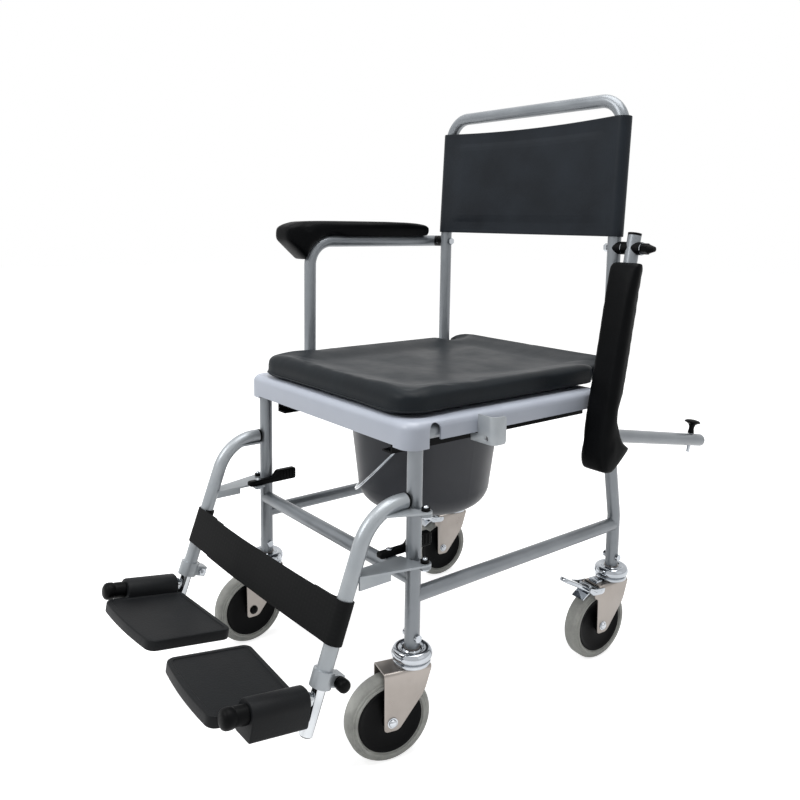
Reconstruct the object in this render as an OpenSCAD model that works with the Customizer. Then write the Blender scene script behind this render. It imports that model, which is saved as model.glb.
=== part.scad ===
// Wheeled shower commode chair. A welded tube frame stands on four swivel castors and carries
// a plastic commode seat with a lift-off cushion, a slide-out pail, two drop-down arms with
// locking pins, and two swing-away leg rests with height-adjusted, flip-up footplates.
// Millimetres, +Z up, the chair faces -Y, the sitter's left is +X.

/* [Frame] */
// Outside diameter of the frame tubes
tube_d = 22; // [20:0.5:24]
// Wall of the frame tubes
tube_wall = 1.5; // [1:0.1:2]
// Distance between the left and right tube centre lines
frame_w = 416; // [400:2:440]
// Front legs ahead of the seat centre
front_leg_y = 202; // [190:1:215]
// Rear legs behind the seat centre, at the floor
rear_leg_y = 256; // [245:1:270]
// Back uprights behind the seat centre
upright_y = 220; // [214:1:230]
// Backward lean of the back above the arm pivots, in degrees
back_lean = 2.6; // [0:0.1:6]
// Bend radius of the push bar corners
push_bend_r = 45; // [35:1:60]

/* [Heights] */
// Centre of the lower side rails
lower_rail_z = 234; // [225:1:240]
// Centre of the front crossbar
crossbar_z = 259.5; // [257:0.5:262]
// Centre of the seat side rails
seat_rail_z = 468; // [460:1:480]
// Arm pivot bolts
pivot_z = 718; // [708:1:730]
// Push bar above the lean of the back, along the leaning uprights
push_bar_h = 228; // [224:1:250]

/* [Castors] */
// Wheel diameter
wheel_d = 125; // [115:1:130]
// Tread width
wheel_w = 30; // [26:1:32]
// Hub diameter, inside the tyre
hub_d = 96; // [80:1:100]
// Offset of the axle from the swivel axis
castor_trail = 37; // [30:1:40]
// Diameter of the bright swivel dome
dome_d = 55; // [48:1:58]
// Axle diameter
axle_d = 8; // [6:0.5:10]

/* [Seat] */
// Thickness of the plastic seat top
seat_plate_t = 6.7; // [5:0.1:8]
// Wall of the plastic seat skirt
skirt_t = 3.5; // [2.5:0.1:4]
// Diameter of the hole above the pail
aperture_d = 200; // [180:1:210]
// Cushion height at its raised border
cushion_h = 38; // [32:1:45]
// Cushion wider than the frame, centre to centre of its tubes
cushion_over = 8; // [0:1:10]
// Depth of the dish in the cushion
cushion_dish = 12; // [4:0.5:16]

/* [Back sling] */
// Height of the sling
sling_h = 196; // [160:1:198]
// Sling above the lean of the back
sling_rise = 4; // [3:0.5:6]
// Thickness of the sling panel
sling_t = 10; // [6:0.5:12]

/* [Arms] */
// Arm pivot to the centre of the front post
arm_reach = 307; // [295:1:315]
// Length of the front post below the arm
arm_post = 299; // [290:1:305]
// Bend radius between arm and post
arm_bend_r = 45; // [40:1:55]
// Arm tube outside the uprights, centre to centre
arm_offset = 36; // [35:0.5:40]
// Turn of a dropped arm from level, in degrees
arm_drop = 79.3; // [70:0.1:82]
// Arm pad width
pad_w = 58; // [50:1:60]
// Arm pad thickness above the tube
pad_h = 26; // [20:1:32]

/* [Leg rests] */
// Height of the level top run of the hanger tubes
hanger_top_z = 376; // [372:1:380]
// Bend radius of the hangers
hanger_bend_r = 70; // [64:1:72]
// Slope of the hanger tubes from upright, in degrees
hanger_slope = 20; // [17:0.5:23]
// Hanger corner ahead of the front legs
hanger_reach = 74.5; // [73:0.5:80]
// Height of the lower hanger plate
lower_plate_z = 291; // [288:0.5:296]
// Swivel pins outside the front legs
pin_offset = 27; // [26:0.5:30]
// Swivel pin diameter
pin_d = 8; // [6:0.5:9]
// Diameter of the bright extension tubes
extension_d = 18.9; // [16.5:0.1:18.9]
// Lower end of the hanger tubes above the floor
hanger_end_z = 155; // [150:1:162]
// Lower end of the extension tubes above the floor
extension_end_z = 96; // [90:1:104]

/* [Footplates] */
// Footplates short of the middle of the chair
plate_gap = 26; // [22:1:46]
// Depth of a footplate beside its hinge
plate_l = 127; // [112:1:130]
// Thickness of a footplate
plate_t = 17; // [12:0.5:18]
// Upward tilt of the footplates, in degrees
plate_tilt = 9.5; // [4:0.5:12]
// Hinge rod diameter
rod_d = 12; // [9:0.5:13]
// Hinge rod length
rod_l = 137.5; // [132:0.5:142]

/* [Calf strap] */
// Width of the webbing
strap_w = 58; // [40:1:60]
// Thickness of the webbing
strap_t = 2.2; // [1.5:0.1:2.5]

/* [Pail] */
// Outside diameter under the rim
pail_d = 256; // [240:1:260]
// Diameter of the rim
rim_d = 290; // [284:1:296]
// Depth of the pail below the rim
pail_h = 156; // [130:1:165]
// Wall of the pail
pail_wall = 2.5; // [2:0.1:4]
// Bail wire diameter
bail_d = 4; // [3:0.1:5]

/* [Hidden] */
$fn = 64;

// Shared clearances
cut_over = 1;
weld_gap = 0.05;
run_gap = 0.05;
seat_gap = 0.3;
side_gap = 0.5;
joint_swell = 0.03;

// Derived frame lines
tube_r = tube_d / 2;
half_w = frame_w / 2;
front_y = -front_leg_y;
fork_gap = 8;
fork_t = 3;
dome_h = 21;
dome_gap = 2;
dome_round = 14;
wheel_r = wheel_d / 2;
fork_top_z = wheel_d + fork_gap;
dome_z = fork_top_z + fork_t;
leg_end_z = dome_z + dome_h + dome_gap;
kink_rise = 6;
kink_low_z = lower_rail_z + tube_r + kink_rise;
kink_high_z = seat_rail_z - tube_r - kink_rise;
lean_rise = 14;
lean_z = pivot_z + lean_rise;
arm_x = half_w + arm_offset;

// Hanger lines: a level run, a bend and a sloping run in the plane of the legs
corner_y = front_y - hanger_reach;
bend_turn = 90 - hanger_slope;
bend_run = hanger_bend_r * tan(bend_turn / 2);
rod_drop = 14;
rod_z = hanger_end_z - rod_drop;
function slope_y(z) = corner_y - (hanger_top_z - z) * tan(hanger_slope);

// Whole length of the chair, from the hinge rod caps to the end of the dropped arm post
cap_r = 13.5;
cap_round = 4;
rod_tip_y = slope_y(rod_z) - rod_l * cos(plate_tilt);
front_reach = rod_tip_y + cap_round * cos(plate_tilt) - (cap_r - cap_round) * sin(plate_tilt) - cap_round;
post_end_y = -arm_reach * cos(arm_drop) + arm_post * sin(arm_drop);
rear_reach = upright_y + post_end_y + tube_r * cos(arm_drop);
shift_y = -(front_reach + rear_reach) / 2;

grey_paint = "#8a8f94";
light_paint = "#a9adb0";
black_plastic = "#1d1f22";
vinyl = "#17181a";
chrome = "#c9ccd0";
zinc = "#b0aca8";
tread_grey = "#9a9a97";
seat_plastic = "#b9c0cc";
pail_grey = "#45464a";

module placed() translate([0, shift_y, 0]) children();
module both_sides() {
    children();
    mirror([1, 0, 0]) children();
}
module sided(side) {
    if (side < 0) mirror([1, 0, 0]) children();
    else children();
}
module bar_x(x0, x1, r) translate([x0, 0, 0]) rotate([0, 90, 0]) cylinder(h = x1 - x0, r = r);
module bar_y(y0, y1, r) translate([0, y0, 0]) rotate([-90, 0, 0]) cylinder(h = y1 - y0, r = r);
module bar_z(z0, z1, r) translate([0, 0, z0]) cylinder(h = z1 - z0, r = r);
// Round bar drawn along a run of moves from the origin towards +Z. A move is a straight
// length, a bend of [radius, turn, heading], where heading turns the bend about the bar, or a
// sharp turn of [0, turn, heading]. A knuckle, swelled a hair, covers each joint between moves
module run(moves, r, over = 0, i = 0) if (i < len(moves)) {
    if (i > 0 && moves[i][0] != 0) sphere(r + joint_swell);
    if (is_num(moves[i])) {
        low = i == 0 ? over : 0;
        high = i == len(moves) - 1 ? over : 0;
        bar_z(-low, moves[i] + high, r);
        translate([0, 0, moves[i]]) run(moves, r, over, i + 1);
    } else {
        bend_r = moves[i][0];
        turn = moves[i][1];
        rotate([0, 0, moves[i][2]]) {
            if (bend_r > 0) translate([bend_r, 0, 0]) rotate([0, 0, 180]) rotate([90, 0, 0])
                rotate_extrude(angle = turn) translate([bend_r, 0]) circle(r);
            translate([bend_r, 0, 0]) rotate([0, turn, 0]) translate([-bend_r, 0, 0])
                rotate([0, 0, -moves[i][2]]) run(moves, r, over, i + 1);
        }
    }
}
module rounded_rect(x0, x1, y0, y1, r) {
    translate([x0 + r, y0]) square([x1 - x0 - 2 * r, y1 - y0]);
    translate([x0, y0 + r]) square([x1 - x0, y1 - y0 - 2 * r]);
    for (x = [x0 + r, x1 - r], y = [y0 + r, y1 - r]) translate([x, y]) circle(r);
}

// Closed skin through rings of equal length, with a fan at each end
module loft(rings) {
    n = len(rings[0]);
    m = len(rings);
    ends = [for (e = [0, m - 1]) [for (k = [0 : 2]) ring_mean(rings[e], k)]];
    points = concat([for (ring = rings) each ring], ends);
    walls = [for (i = [0 : m - 2], j = [0 : n - 1]) each [
        [i * n + j, i * n + (j + 1) % n, (i + 1) * n + j],
        [i * n + (j + 1) % n, (i + 1) * n + (j + 1) % n, (i + 1) * n + j]]];
    first = [for (j = [0 : n - 1]) [m * n, (j + 1) % n, j]];
    last = [for (j = [0 : n - 1]) [m * n + 1, (m - 1) * n + j, (m - 1) * n + (j + 1) % n]];
    polyhedron(points = points, faces = concat(walls, first, last));
}
function ring_mean(ring, k) = sum([for (p = ring) p[k]]) / len(ring);
function sum(list, i = 0) = i < len(list) ? list[i] + sum(list, i + 1) : 0;
function signed_pow(v, e) = v < 0 ? -pow(-v, e) : pow(v, e);
// Soft section: a rounded rectangle in X and Z at one Y, with a dish in its top
function soft_ring(x, y, w, low, high, dish, count, round_share) = [for (j = [0 : count - 1])
    let (a = 360 * (j + 0.5) / count,
        c = signed_pow(cos(a), round_share),
        s = signed_pow(sin(a), round_share),
        drop = s > 0 ? dish * s * (1 - c * c) : 0)
    [x + w * c, y, (low + high) / 2 + s * (high - low) / 2 - drop]];

// Back frame, from the rear castors over the push bar
module leaning() translate([0, upright_y, lean_z]) rotate([-back_lean, 0, 0]) children();
kink_turn = atan((rear_leg_y - upright_y) / (kink_high_z - kink_low_z));
back_moves = [
    kink_low_z - leg_end_z,
    [0, kink_turn, -90],
    norm([rear_leg_y - upright_y, kink_high_z - kink_low_z]),
    [0, kink_turn, 90],
    lean_z - kink_high_z,
    [0, back_lean, 90],
    push_bar_h - push_bend_r,
    [push_bend_r, 90, 180]
];
module back_run(r, over = 0) translate([half_w, rear_leg_y, leg_end_z]) run(back_moves, r, over);
module rear_leg_lines(r) both_sides() translate([half_w, rear_leg_y, 0]) bar_z(leg_end_z, kink_low_z, r);
module upright_lines(r) both_sides() translate([half_w, upright_y, 0]) bar_z(kink_high_z, lean_z, r);
bolt_d = 8;
bolt_r = bolt_d / 2;
stem_bolt_r = 3;
stem_bolt_rise = 16;
module stem_bolt_hole(y) translate([0, y, leg_end_z + stem_bolt_rise])
    bar_x(half_w - tube_r - cut_over, half_w + tube_r + cut_over, stem_bolt_r + run_gap);
module back_frame() color(grey_paint) placed() {
    both_sides() difference() {
        back_run(tube_r);
        back_run(tube_r - tube_wall, cut_over);
        translate([0, upright_y, pivot_z])
            bar_x(half_w - tube_r - cut_over, half_w + tube_r + cut_over, bolt_r + run_gap);
        stem_bolt_hole(rear_leg_y);
    }
    leaning() translate([0, 0, push_bar_h]) difference() {
        bar_x(push_bend_r + weld_gap - half_w, half_w - push_bend_r - weld_gap, tube_r);
        bar_x(push_bend_r - half_w, half_w - push_bend_r, tube_r - tube_wall);
    }
}
module seat_rail_lines(r) both_sides() translate([half_w, 0, seat_rail_z])
    bar_y(front_y - tube_r, upright_y, r);
module front_leg_lines(r, over) both_sides() translate([half_w, front_y, 0])
    bar_z(leg_end_z - over, seat_rail_z, r);
module front_legs() color(grey_paint) placed() difference() {
    front_leg_lines(tube_r, 0);
    front_leg_lines(tube_r - tube_wall, cut_over);
    seat_rail_lines(tube_r + weld_gap);
    seat_cross_lines(tube_r + weld_gap);
    both_sides() stem_bolt_hole(front_y);
}
module lower_side_rails() color(grey_paint) placed() difference() {
    both_sides() translate([half_w, 0, lower_rail_z]) bar_y(front_y, rear_leg_y, tube_r);
    both_sides() translate([half_w, 0, lower_rail_z]) bar_y(front_y, rear_leg_y, tube_r - tube_wall);
    front_leg_lines(tube_r + weld_gap, 0);
    rear_leg_lines(tube_r + weld_gap);
}
module front_crossbar() color(grey_paint) placed() difference() {
    translate([0, front_y, crossbar_z]) bar_x(-half_w, half_w, tube_r);
    translate([0, front_y, crossbar_z]) bar_x(-half_w, half_w, tube_r - tube_wall);
    front_leg_lines(tube_r + weld_gap, 0);
}
rear_cross_gap = 4;
rear_cross_y = upright_y - tube_r - rear_cross_gap;
module seat_cross_lines(r) for (y = [front_y, rear_cross_y])
    translate([0, y, seat_rail_z]) bar_x(-half_w, half_w, r);
module seat_tubes() color(grey_paint) placed() {
    difference() {
        seat_rail_lines(tube_r);
        both_sides() translate([half_w, 0, seat_rail_z])
            bar_y(front_y - tube_r + tube_wall, upright_y, tube_r - tube_wall);
        upright_lines(tube_r + weld_gap);
    }
    difference() {
        seat_cross_lines(tube_r);
        seat_cross_lines(tube_r - tube_wall);
        seat_rail_lines(tube_r + weld_gap);
        upright_lines(tube_r + weld_gap);
    }
}

// Plastic commode seat: plate, skirt, deeper front corners and an arch over each side rail
seat_low_z = seat_rail_z + tube_r + seat_gap;
seat_top_z = seat_low_z + seat_plate_t;
skirt_gap = 1.5;
seat_half_w = half_w + tube_r + skirt_gap + skirt_t;
apron_gap = 9.5;
seat_front_y = front_y - tube_r - apron_gap - skirt_t;
seat_rear_gap = 24;
seat_rear_y = upright_y - tube_r - seat_rear_gap;
seat_corner_r = 18;
side_skirt_h = 28;
corner_skirt_h = 48;
apron_lift = 6;
arch_w = 23;
arch_r = arch_w / 2;
corner_l = 36;
arch_top_drop = 5;
pail_y = -8;
module seat_outline(inset) rounded_rect(inset - seat_half_w, seat_half_w - inset,
    seat_front_y + inset, seat_rear_y - inset, seat_corner_r - inset);
module commode_seat() color(seat_plastic) placed() difference() {
    translate([0, 0, seat_top_z - corner_skirt_h]) linear_extrude(corner_skirt_h) seat_outline(0);
    translate([0, 0, seat_top_z - corner_skirt_h - cut_over])
        linear_extrude(corner_skirt_h - seat_plate_t + cut_over) seat_outline(skirt_t);
    // open rear, and the shallow side skirts behind the front corners
    translate([-seat_half_w, seat_rear_y - seat_corner_r, seat_top_z - corner_skirt_h - cut_over])
        cube([2 * seat_half_w, seat_corner_r + cut_over, corner_skirt_h - seat_plate_t + cut_over]);
    translate([-seat_half_w - cut_over, seat_front_y + corner_l, seat_top_z - corner_skirt_h - cut_over])
        cube([2 * (seat_half_w + cut_over), seat_rear_y - seat_front_y,
            corner_skirt_h - side_skirt_h + cut_over]);
    translate([-seat_half_w + corner_l, seat_front_y - cut_over, seat_top_z - corner_skirt_h - cut_over])
        cube([2 * (seat_half_w - corner_l), skirt_t + 2 * cut_over, apron_lift + cut_over]);
    both_sides() translate([0, seat_front_y + corner_l + arch_r, 0]) {
        translate([0, 0, seat_top_z - arch_top_drop - arch_r])
            bar_x(seat_half_w - skirt_t - skirt_gap, seat_half_w + cut_over, arch_r);
        translate([seat_half_w - skirt_t - skirt_gap, -arch_r, seat_top_z - corner_skirt_h - cut_over])
            cube([skirt_t + skirt_gap + cut_over, arch_w,
                corner_skirt_h - arch_top_drop - arch_r + cut_over]);
    }
    translate([0, pail_y, 0]) bar_z(seat_low_z - cut_over, seat_top_z + cut_over, aperture_d / 2);
}

// Rails that carry the pail, hung under the seat cross tubes
rail_t = 2.5;
rail_flange = 18;
rail_side_gap = 12;
ledge_w = 20;
rail_top_z = seat_rail_z - tube_r - seat_gap;
rail_h = 29;
ledge_z = rail_top_z - rail_h + rail_t;
rail_x = rim_d / 2 + rail_side_gap;
rail_over = 3;
module pail_rails() color(black_plastic) placed() both_sides()
    translate([0, rear_cross_y + tube_r + rail_over, 0]) rotate([90, 0, 0])
    linear_extrude(rear_cross_y - front_y + tube_r + 2 * rail_over) {
        translate([rail_x, rail_top_z - rail_h]) square([rail_t, rail_h]);
        translate([rail_x - ledge_w, rail_top_z - rail_h]) square([ledge_w, rail_t]);
        translate([rail_x + rail_t - rail_flange, rail_top_z - rail_t]) square([rail_flange, rail_t]);
    }

// Brackets on the seat rails that the arm pins lock into
receiver_t = 3;
receiver_h = 45;
receiver_top_gap = 1;
receiver_lip = 24;
pin_rise = 33;
pull_pin_d = 6;
pin_hole_gap = 0.4;
post_y = upright_y - arm_reach;
pin_z = pivot_z - arm_post + pin_rise;
receiver_y = post_y - tube_r - side_gap;
receiver_top_z = seat_top_z - receiver_top_gap;
receiver_x = arm_x + tube_r + side_gap;
module arm_receivers() color(light_paint) placed() both_sides() difference() {
    union() {
        translate([half_w, receiver_y - receiver_t, receiver_top_z - receiver_h])
            cube([receiver_x + receiver_t - half_w, receiver_t, receiver_h]);
        translate([receiver_x, receiver_y - receiver_t, receiver_top_z - receiver_h])
            cube([receiver_t, receiver_lip, receiver_h]);
    }
    // the part over the seat rail and its skirt is cut back to a weld tab
    translate([half_w, 0, seat_rail_z]) bar_y(receiver_y - 2 * receiver_t, receiver_y + receiver_lip,
        tube_r + weld_gap);
    translate([half_w - cut_over, receiver_y - 2 * receiver_t, seat_top_z - side_skirt_h - side_gap])
        cube([seat_half_w + side_gap - half_w + cut_over, receiver_lip + receiver_t, receiver_h]);
    translate([arm_x, 0, pin_z])
        bar_y(receiver_y - 2 * receiver_t, receiver_y + receiver_t, pull_pin_d / 2 + pin_hole_gap);
}

// Leg rest swivels: lugs welded to the front legs, pins and bushes
eye_r = 9;
lug_t = 4;
hanger_plate_t = 3;
pin_x = half_w + pin_offset;
pin_lead = 2;
pin_y = front_y - pin_lead;
pin_r = pin_d / 2;
upper_plate_z = hanger_top_z - tube_r;
pin_low = 3;
pin_rise_over = 8;
bush_r = 6.2;
bush_h = 4;
plate_levels = [upper_plate_z, lower_plate_z];
module hanger_lugs() color(grey_paint) placed() both_sides() for (z = plate_levels)
    translate([0, 0, z - hanger_plate_t / 2 - seat_gap - lug_t]) linear_extrude(lug_t) difference() {
        union() {
            translate([pin_x, pin_y]) circle(eye_r);
            translate([half_w, pin_y - eye_r]) square([pin_offset, 2 * eye_r]);
        }
        translate([half_w, front_y]) circle(tube_r + weld_gap);
        translate([half_w - tube_d, front_y - tube_d]) square([tube_d, 2 * tube_d]);
        translate([pin_x, pin_y]) circle(pin_r + run_gap);
    }
module hanger_pins() color(chrome) placed() both_sides() for (z = plate_levels)
    translate([pin_x, pin_y, z]) {
        bar_z(-hanger_plate_t / 2 - seat_gap - lug_t - pin_low,
            hanger_plate_t / 2 + pin_rise_over - pin_r / 2, pin_r);
        bar_z(-hanger_plate_t / 2 - seat_gap - lug_t - pin_low, -hanger_plate_t / 2 - seat_gap - lug_t,
            bush_r);
        translate([0, 0, hanger_plate_t / 2 + pin_rise_over - pin_r]) sphere(pin_r);
    }
module pin_bushes() color(black_plastic) placed() both_sides() for (z = plate_levels)
    translate([pin_x, pin_y, z + hanger_plate_t / 2 + seat_gap]) difference() {
        bar_z(0, bush_h, bush_r);
        bar_z(-cut_over, bush_h + cut_over, pin_r + run_gap);
    }

// Back sling: a padded panel with a sleeve round each upright
sleeve_t = 3;
sleeve_r = tube_r + seat_gap + sleeve_t;
sling_bow = 6;
sling_steps = 12;
function sling_y(x) = sleeve_t / 4 - sleeve_r + sling_bow * (1 - (x / half_w) * (x / half_w));
module sling_section() difference() {
    union() {
        for (x = [-half_w, half_w]) translate([x, 0]) circle(sleeve_r);
        polygon(concat(
            [for (i = [0 : sling_steps]) let (x = half_w * (2 * i / sling_steps - 1)) [x, sling_y(x)]],
            [for (i = [0 : sling_steps]) let (x = half_w * (1 - 2 * i / sling_steps))
                [x, sling_y(x) + sling_t]]));
    }
    for (x = [-half_w, half_w]) translate([x, 0]) circle(tube_r + seat_gap);
}
module back_sling() color(vinyl) placed() leaning() difference() {
    translate([0, 0, sling_rise]) linear_extrude(sling_h) sling_section();
    // the sleeves give way to the bends of the push bar
    both_sides() translate([half_w - push_bend_r, 0, push_bar_h - push_bend_r]) rotate([90, 0, 0])
        rotate_extrude(angle = 90) translate([push_bend_r, 0]) circle(tube_r + 2 * seat_gap);
}

// Bolts of the arm pivots and of the castor stems, and the saddles between upright and arm
nut_t = 6;
nut_r = 7;
washer_t = 1.2;
washer_r = 10;
saddle_r = 10.5;
cap_nut_l = 22;
cap_nut_r = 9;
stem_head_t = 4;
stem_head_r = 5.5;
inner_washer_x = half_w + arm_offset / 2 - washer_t / 2;
outer_saddle_l = 7;
outer_washer_x = arm_x + tube_r + outer_saddle_l + seat_gap;
module frame_bolts() color(chrome) placed() both_sides() {
    translate([0, upright_y, pivot_z]) {
        bar_x(half_w - tube_r - nut_t, outer_washer_x + washer_t + cap_nut_l / 2, bolt_r);
        translate([half_w - tube_r - nut_t, 0, 0]) rotate([0, 90, 0])
            cylinder(h = nut_t, r = nut_r, $fn = 6);
        for (x = [inner_washer_x, outer_washer_x]) difference() {
            bar_x(x, x + washer_t, washer_r);
            bar_x(x - cut_over, x + washer_t + cut_over, bolt_r + run_gap);
        }
    }
    for (y = [front_y, rear_leg_y]) translate([half_w, y, leg_end_z + stem_bolt_rise]) {
        bar_x(-tube_r - stem_head_t, tube_r + stem_head_t, stem_bolt_r);
        bar_x(tube_r, tube_r + stem_head_t, stem_head_r);
        bar_x(-tube_r - stem_head_t, -tube_r, stem_head_r);
    }
}
module arm_pivot_saddles() color(black_plastic) placed() both_sides() difference() {
    union() {
        translate([0, upright_y, pivot_z]) bar_x(half_w, inner_washer_x, saddle_r);
        translate([outer_washer_x + washer_t, upright_y, pivot_z]) rotate([0, 90, 0]) {
            cylinder(h = cap_nut_l / 2, r = cap_nut_r, $fn = 6);
            translate([0, 0, cap_nut_l / 2])
                cylinder(h = cap_nut_l / 2, r1 = cap_nut_r * cos(30), r2 = bolt_r);
        }
    }
    upright_lines(tube_r + weld_gap);
    translate([0, upright_y, pivot_z])
        bar_x(half_w, outer_washer_x + washer_t + cap_nut_l / 2 + run_gap, bolt_r + run_gap);
}

// Castors. Local +X is the direction that the wheel trails to
stem_plug_h = 40;
stem_pin_r = 6;
stem_head_h = 3;
stem_foot_r = 10;
stem_flange_r = 12.5;
stem_fit = 0.1;
castor_headings = [-104.8, -92.3, -95.7, -97.5];
castor_places = [[half_w, front_y], [-half_w, front_y], [half_w, rear_leg_y], [-half_w, rear_leg_y]];
module at_castor(i) placed() translate([castor_places[i].x, castor_places[i].y, 0])
    rotate([0, 0, castor_headings[i]]) children();
module castor_stems() color(zinc) placed() for (p = castor_places) difference() {
    translate([p.x, p.y, 0]) {
        bar_z(leg_end_z, leg_end_z + stem_plug_h, tube_r - tube_wall - stem_fit);
        bar_z(leg_end_z - dome_gap + seat_gap, leg_end_z, stem_flange_r);
        bar_z(fork_top_z - seat_gap, leg_end_z, stem_pin_r);
        bar_z(fork_top_z - seat_gap - stem_head_h, fork_top_z - seat_gap, stem_foot_r);
    }
    translate([p.x, p.y, leg_end_z + stem_bolt_rise])
        bar_x(-tube_r, tube_r, stem_bolt_r + run_gap);
}
fork_leg_t = 2.5;
fork_clear = 2.5;
fork_in = wheel_w / 2 + fork_clear;
fork_out = fork_in + fork_leg_t;
fork_round = 13;
fork_back = 22;
fork_waist_x = -7;
fork_waist_z = 97;
axle_r = axle_d / 2;
axle_head_r = 8;
axle_head_t = 5;
pedal_pin_x = 46;
pedal_pin_drop = 3.5;
pedal_pin_z = fork_top_z - pedal_pin_drop;
pedal_pin_r = 2;
module fork_side() difference() {
    union() {
        polygon([[-fork_back, dome_z], [castor_trail + fork_round, dome_z],
            [castor_trail + fork_round, wheel_r], [castor_trail - fork_round, wheel_r - fork_round / 2],
            [fork_waist_x, fork_waist_z]]);
        translate([castor_trail, wheel_r]) circle(fork_round);
    }
    translate([castor_trail, wheel_r]) circle(axle_r + stem_fit);
    translate([pedal_pin_x, pedal_pin_z]) circle(pedal_pin_r + run_gap);
}
module fork(i) color(zinc) at_castor(i) {
    difference() {
        translate([-fork_back, -fork_out, fork_top_z])
            cube([fork_back + castor_trail + fork_round, 2 * fork_out, fork_t]);
        bar_z(fork_top_z - cut_over, dome_z + cut_over, stem_pin_r + run_gap);
    }
    for (y = [fork_out, -fork_in]) translate([0, y, 0]) rotate([90, 0, 0])
        linear_extrude(fork_leg_t) fork_side();
    translate([castor_trail, 0, wheel_r]) {
        bar_y(-fork_out, fork_out, axle_r);
        bar_y(fork_out, fork_out + axle_head_t, axle_head_r);
        bar_y(-fork_out - axle_head_t, -fork_out, axle_head_r);
    }
}
module race(i) color(chrome) at_castor(i) translate([0, 0, dome_z]) rotate_extrude() difference() {
    union() {
        square([dome_d / 2, dome_h - dome_round]);
        square([dome_d / 2 - dome_round, dome_h]);
        intersection() {
            translate([dome_d / 2 - dome_round, dome_h - dome_round]) circle(dome_round);
            square([dome_d / 2, dome_h]);
        }
    }
    translate([-cut_over, -cut_over]) square([stem_pin_r + run_gap + cut_over, dome_h + 2 * cut_over]);
}
hub_bore_gap = 0.05;
hub_boss_r = 12;
hub_web_w = 20;
tread_round = 6;
module wheel_section() {
    translate([hub_d / 2, -wheel_w / 2 + tread_round])
        square([wheel_r - hub_d / 2, wheel_w - 2 * tread_round]);
    translate([hub_d / 2, -wheel_w / 2]) square([wheel_r - hub_d / 2 - tread_round, wheel_w]);
    for (y = [-1, 1]) translate([wheel_r - tread_round, y * (wheel_w / 2 - tread_round)])
        circle(tread_round);
}
module at_wheel(i) at_castor(i) translate([castor_trail, 0, wheel_r]) rotate([90, 0, 0]) children();
module tyre(i) color(tread_grey) at_wheel(i) rotate_extrude() wheel_section();
module hub(i) color(black_plastic) at_wheel(i) rotate_extrude() {
    translate([axle_r + hub_bore_gap, -wheel_w / 2 - fork_clear + side_gap])
        square([hub_boss_r - axle_r - hub_bore_gap, wheel_w + 2 * (fork_clear - side_gap)]);
    translate([axle_r + hub_bore_gap, -hub_web_w / 2])
        square([hub_d / 2 - weld_gap - axle_r - hub_bore_gap, hub_web_w]);
}
pedal_t = 2.5;
pedal_boss_r = 6;
pedal_root_x = 56;
pedal_l = 72;
pedal_rise = 28;
shoe_l = 10;
pedal_in = fork_out + seat_gap;
pedal_out = pedal_in + pedal_t;
module brake_pedal(i) color(chrome) at_castor(i) {
    for (y = [pedal_out, -pedal_in]) translate([0, y, 0]) rotate([90, 0, 0]) linear_extrude(pedal_t) {
        translate([pedal_pin_x, pedal_pin_z]) circle(pedal_boss_r);
        translate([pedal_pin_x, pedal_pin_z - pedal_t])
            square([pedal_root_x - pedal_pin_x + pedal_boss_r, 2 * pedal_t]);
    }
    translate([pedal_pin_x, 0, pedal_pin_z]) bar_y(-pedal_out, pedal_out, pedal_pin_r);
    translate([pedal_root_x, -pedal_out, pedal_pin_z - pedal_t]) rotate([0, -pedal_rise, 0])
        cube([pedal_l, 2 * pedal_out, pedal_t]);
    translate([pedal_root_x, -wheel_w / 2, wheel_d]) cube([shoe_l, wheel_w, pedal_pin_z - wheel_d]);
}

// Arms, drawn level from their pivot and then turned down on the left
arm_tail = 21;
arm_cap_t = 4;
pad_start = 25;
pad_end = 365;
pad_shift = 10.5;
pad_nose_low = -39;
pad_edge_share = 0.45;
nose_drop = 12;
nose_lift = 40;
nose_taper_share = 0.16;
heel_taper_share = 0.12;
pad_points = 20;
pad_crown = 5;
pad_round_l = 8;
heel_drop_share = 0.25;
nose_round_l = 34;
module at_arm(side) placed() sided(side) translate([0, upright_y, pivot_z])
    rotate([side > 0 ? arm_drop : 0, 0, 0]) children();
arm_moves = [arm_tail + arm_reach - arm_bend_r, [arm_bend_r, 90, 0], arm_post - arm_bend_r];
arm_bore_moves = [arm_moves[0], arm_moves[1], arm_moves[2] - tube_wall - cut_over];
module at_arm_tail() translate([arm_x, arm_tail, 0]) rotate([90, 0, 0]) rotate([0, 0, -90]) children();
module arm_tube(side) color(grey_paint) at_arm(side) difference() {
    at_arm_tail() run(arm_moves, tube_r);
    at_arm_tail() run(arm_bore_moves, tube_r - tube_wall, cut_over);
    bar_x(arm_x - tube_r - cut_over, arm_x + tube_r + cut_over, bolt_r + run_gap);
    translate([arm_x, -arm_reach, pin_rise - arm_post])
        bar_y(-tube_r - cut_over, tube_r + cut_over, pull_pin_d / 2 + run_gap);
}
module arm_trim(side) color(black_plastic) at_arm(side) {
    translate([arm_x, arm_tail, 0]) bar_y(0, arm_cap_t, tube_r);
    difference() {
        bar_x(inner_washer_x + washer_t + seat_gap, outer_washer_x - seat_gap, saddle_r);
        translate([arm_x, 0, 0]) bar_y(-2 * tube_d, 2 * tube_d, tube_r + weld_gap);
        bar_x(inner_washer_x, outer_washer_x, bolt_r + run_gap);
    }
}
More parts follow.
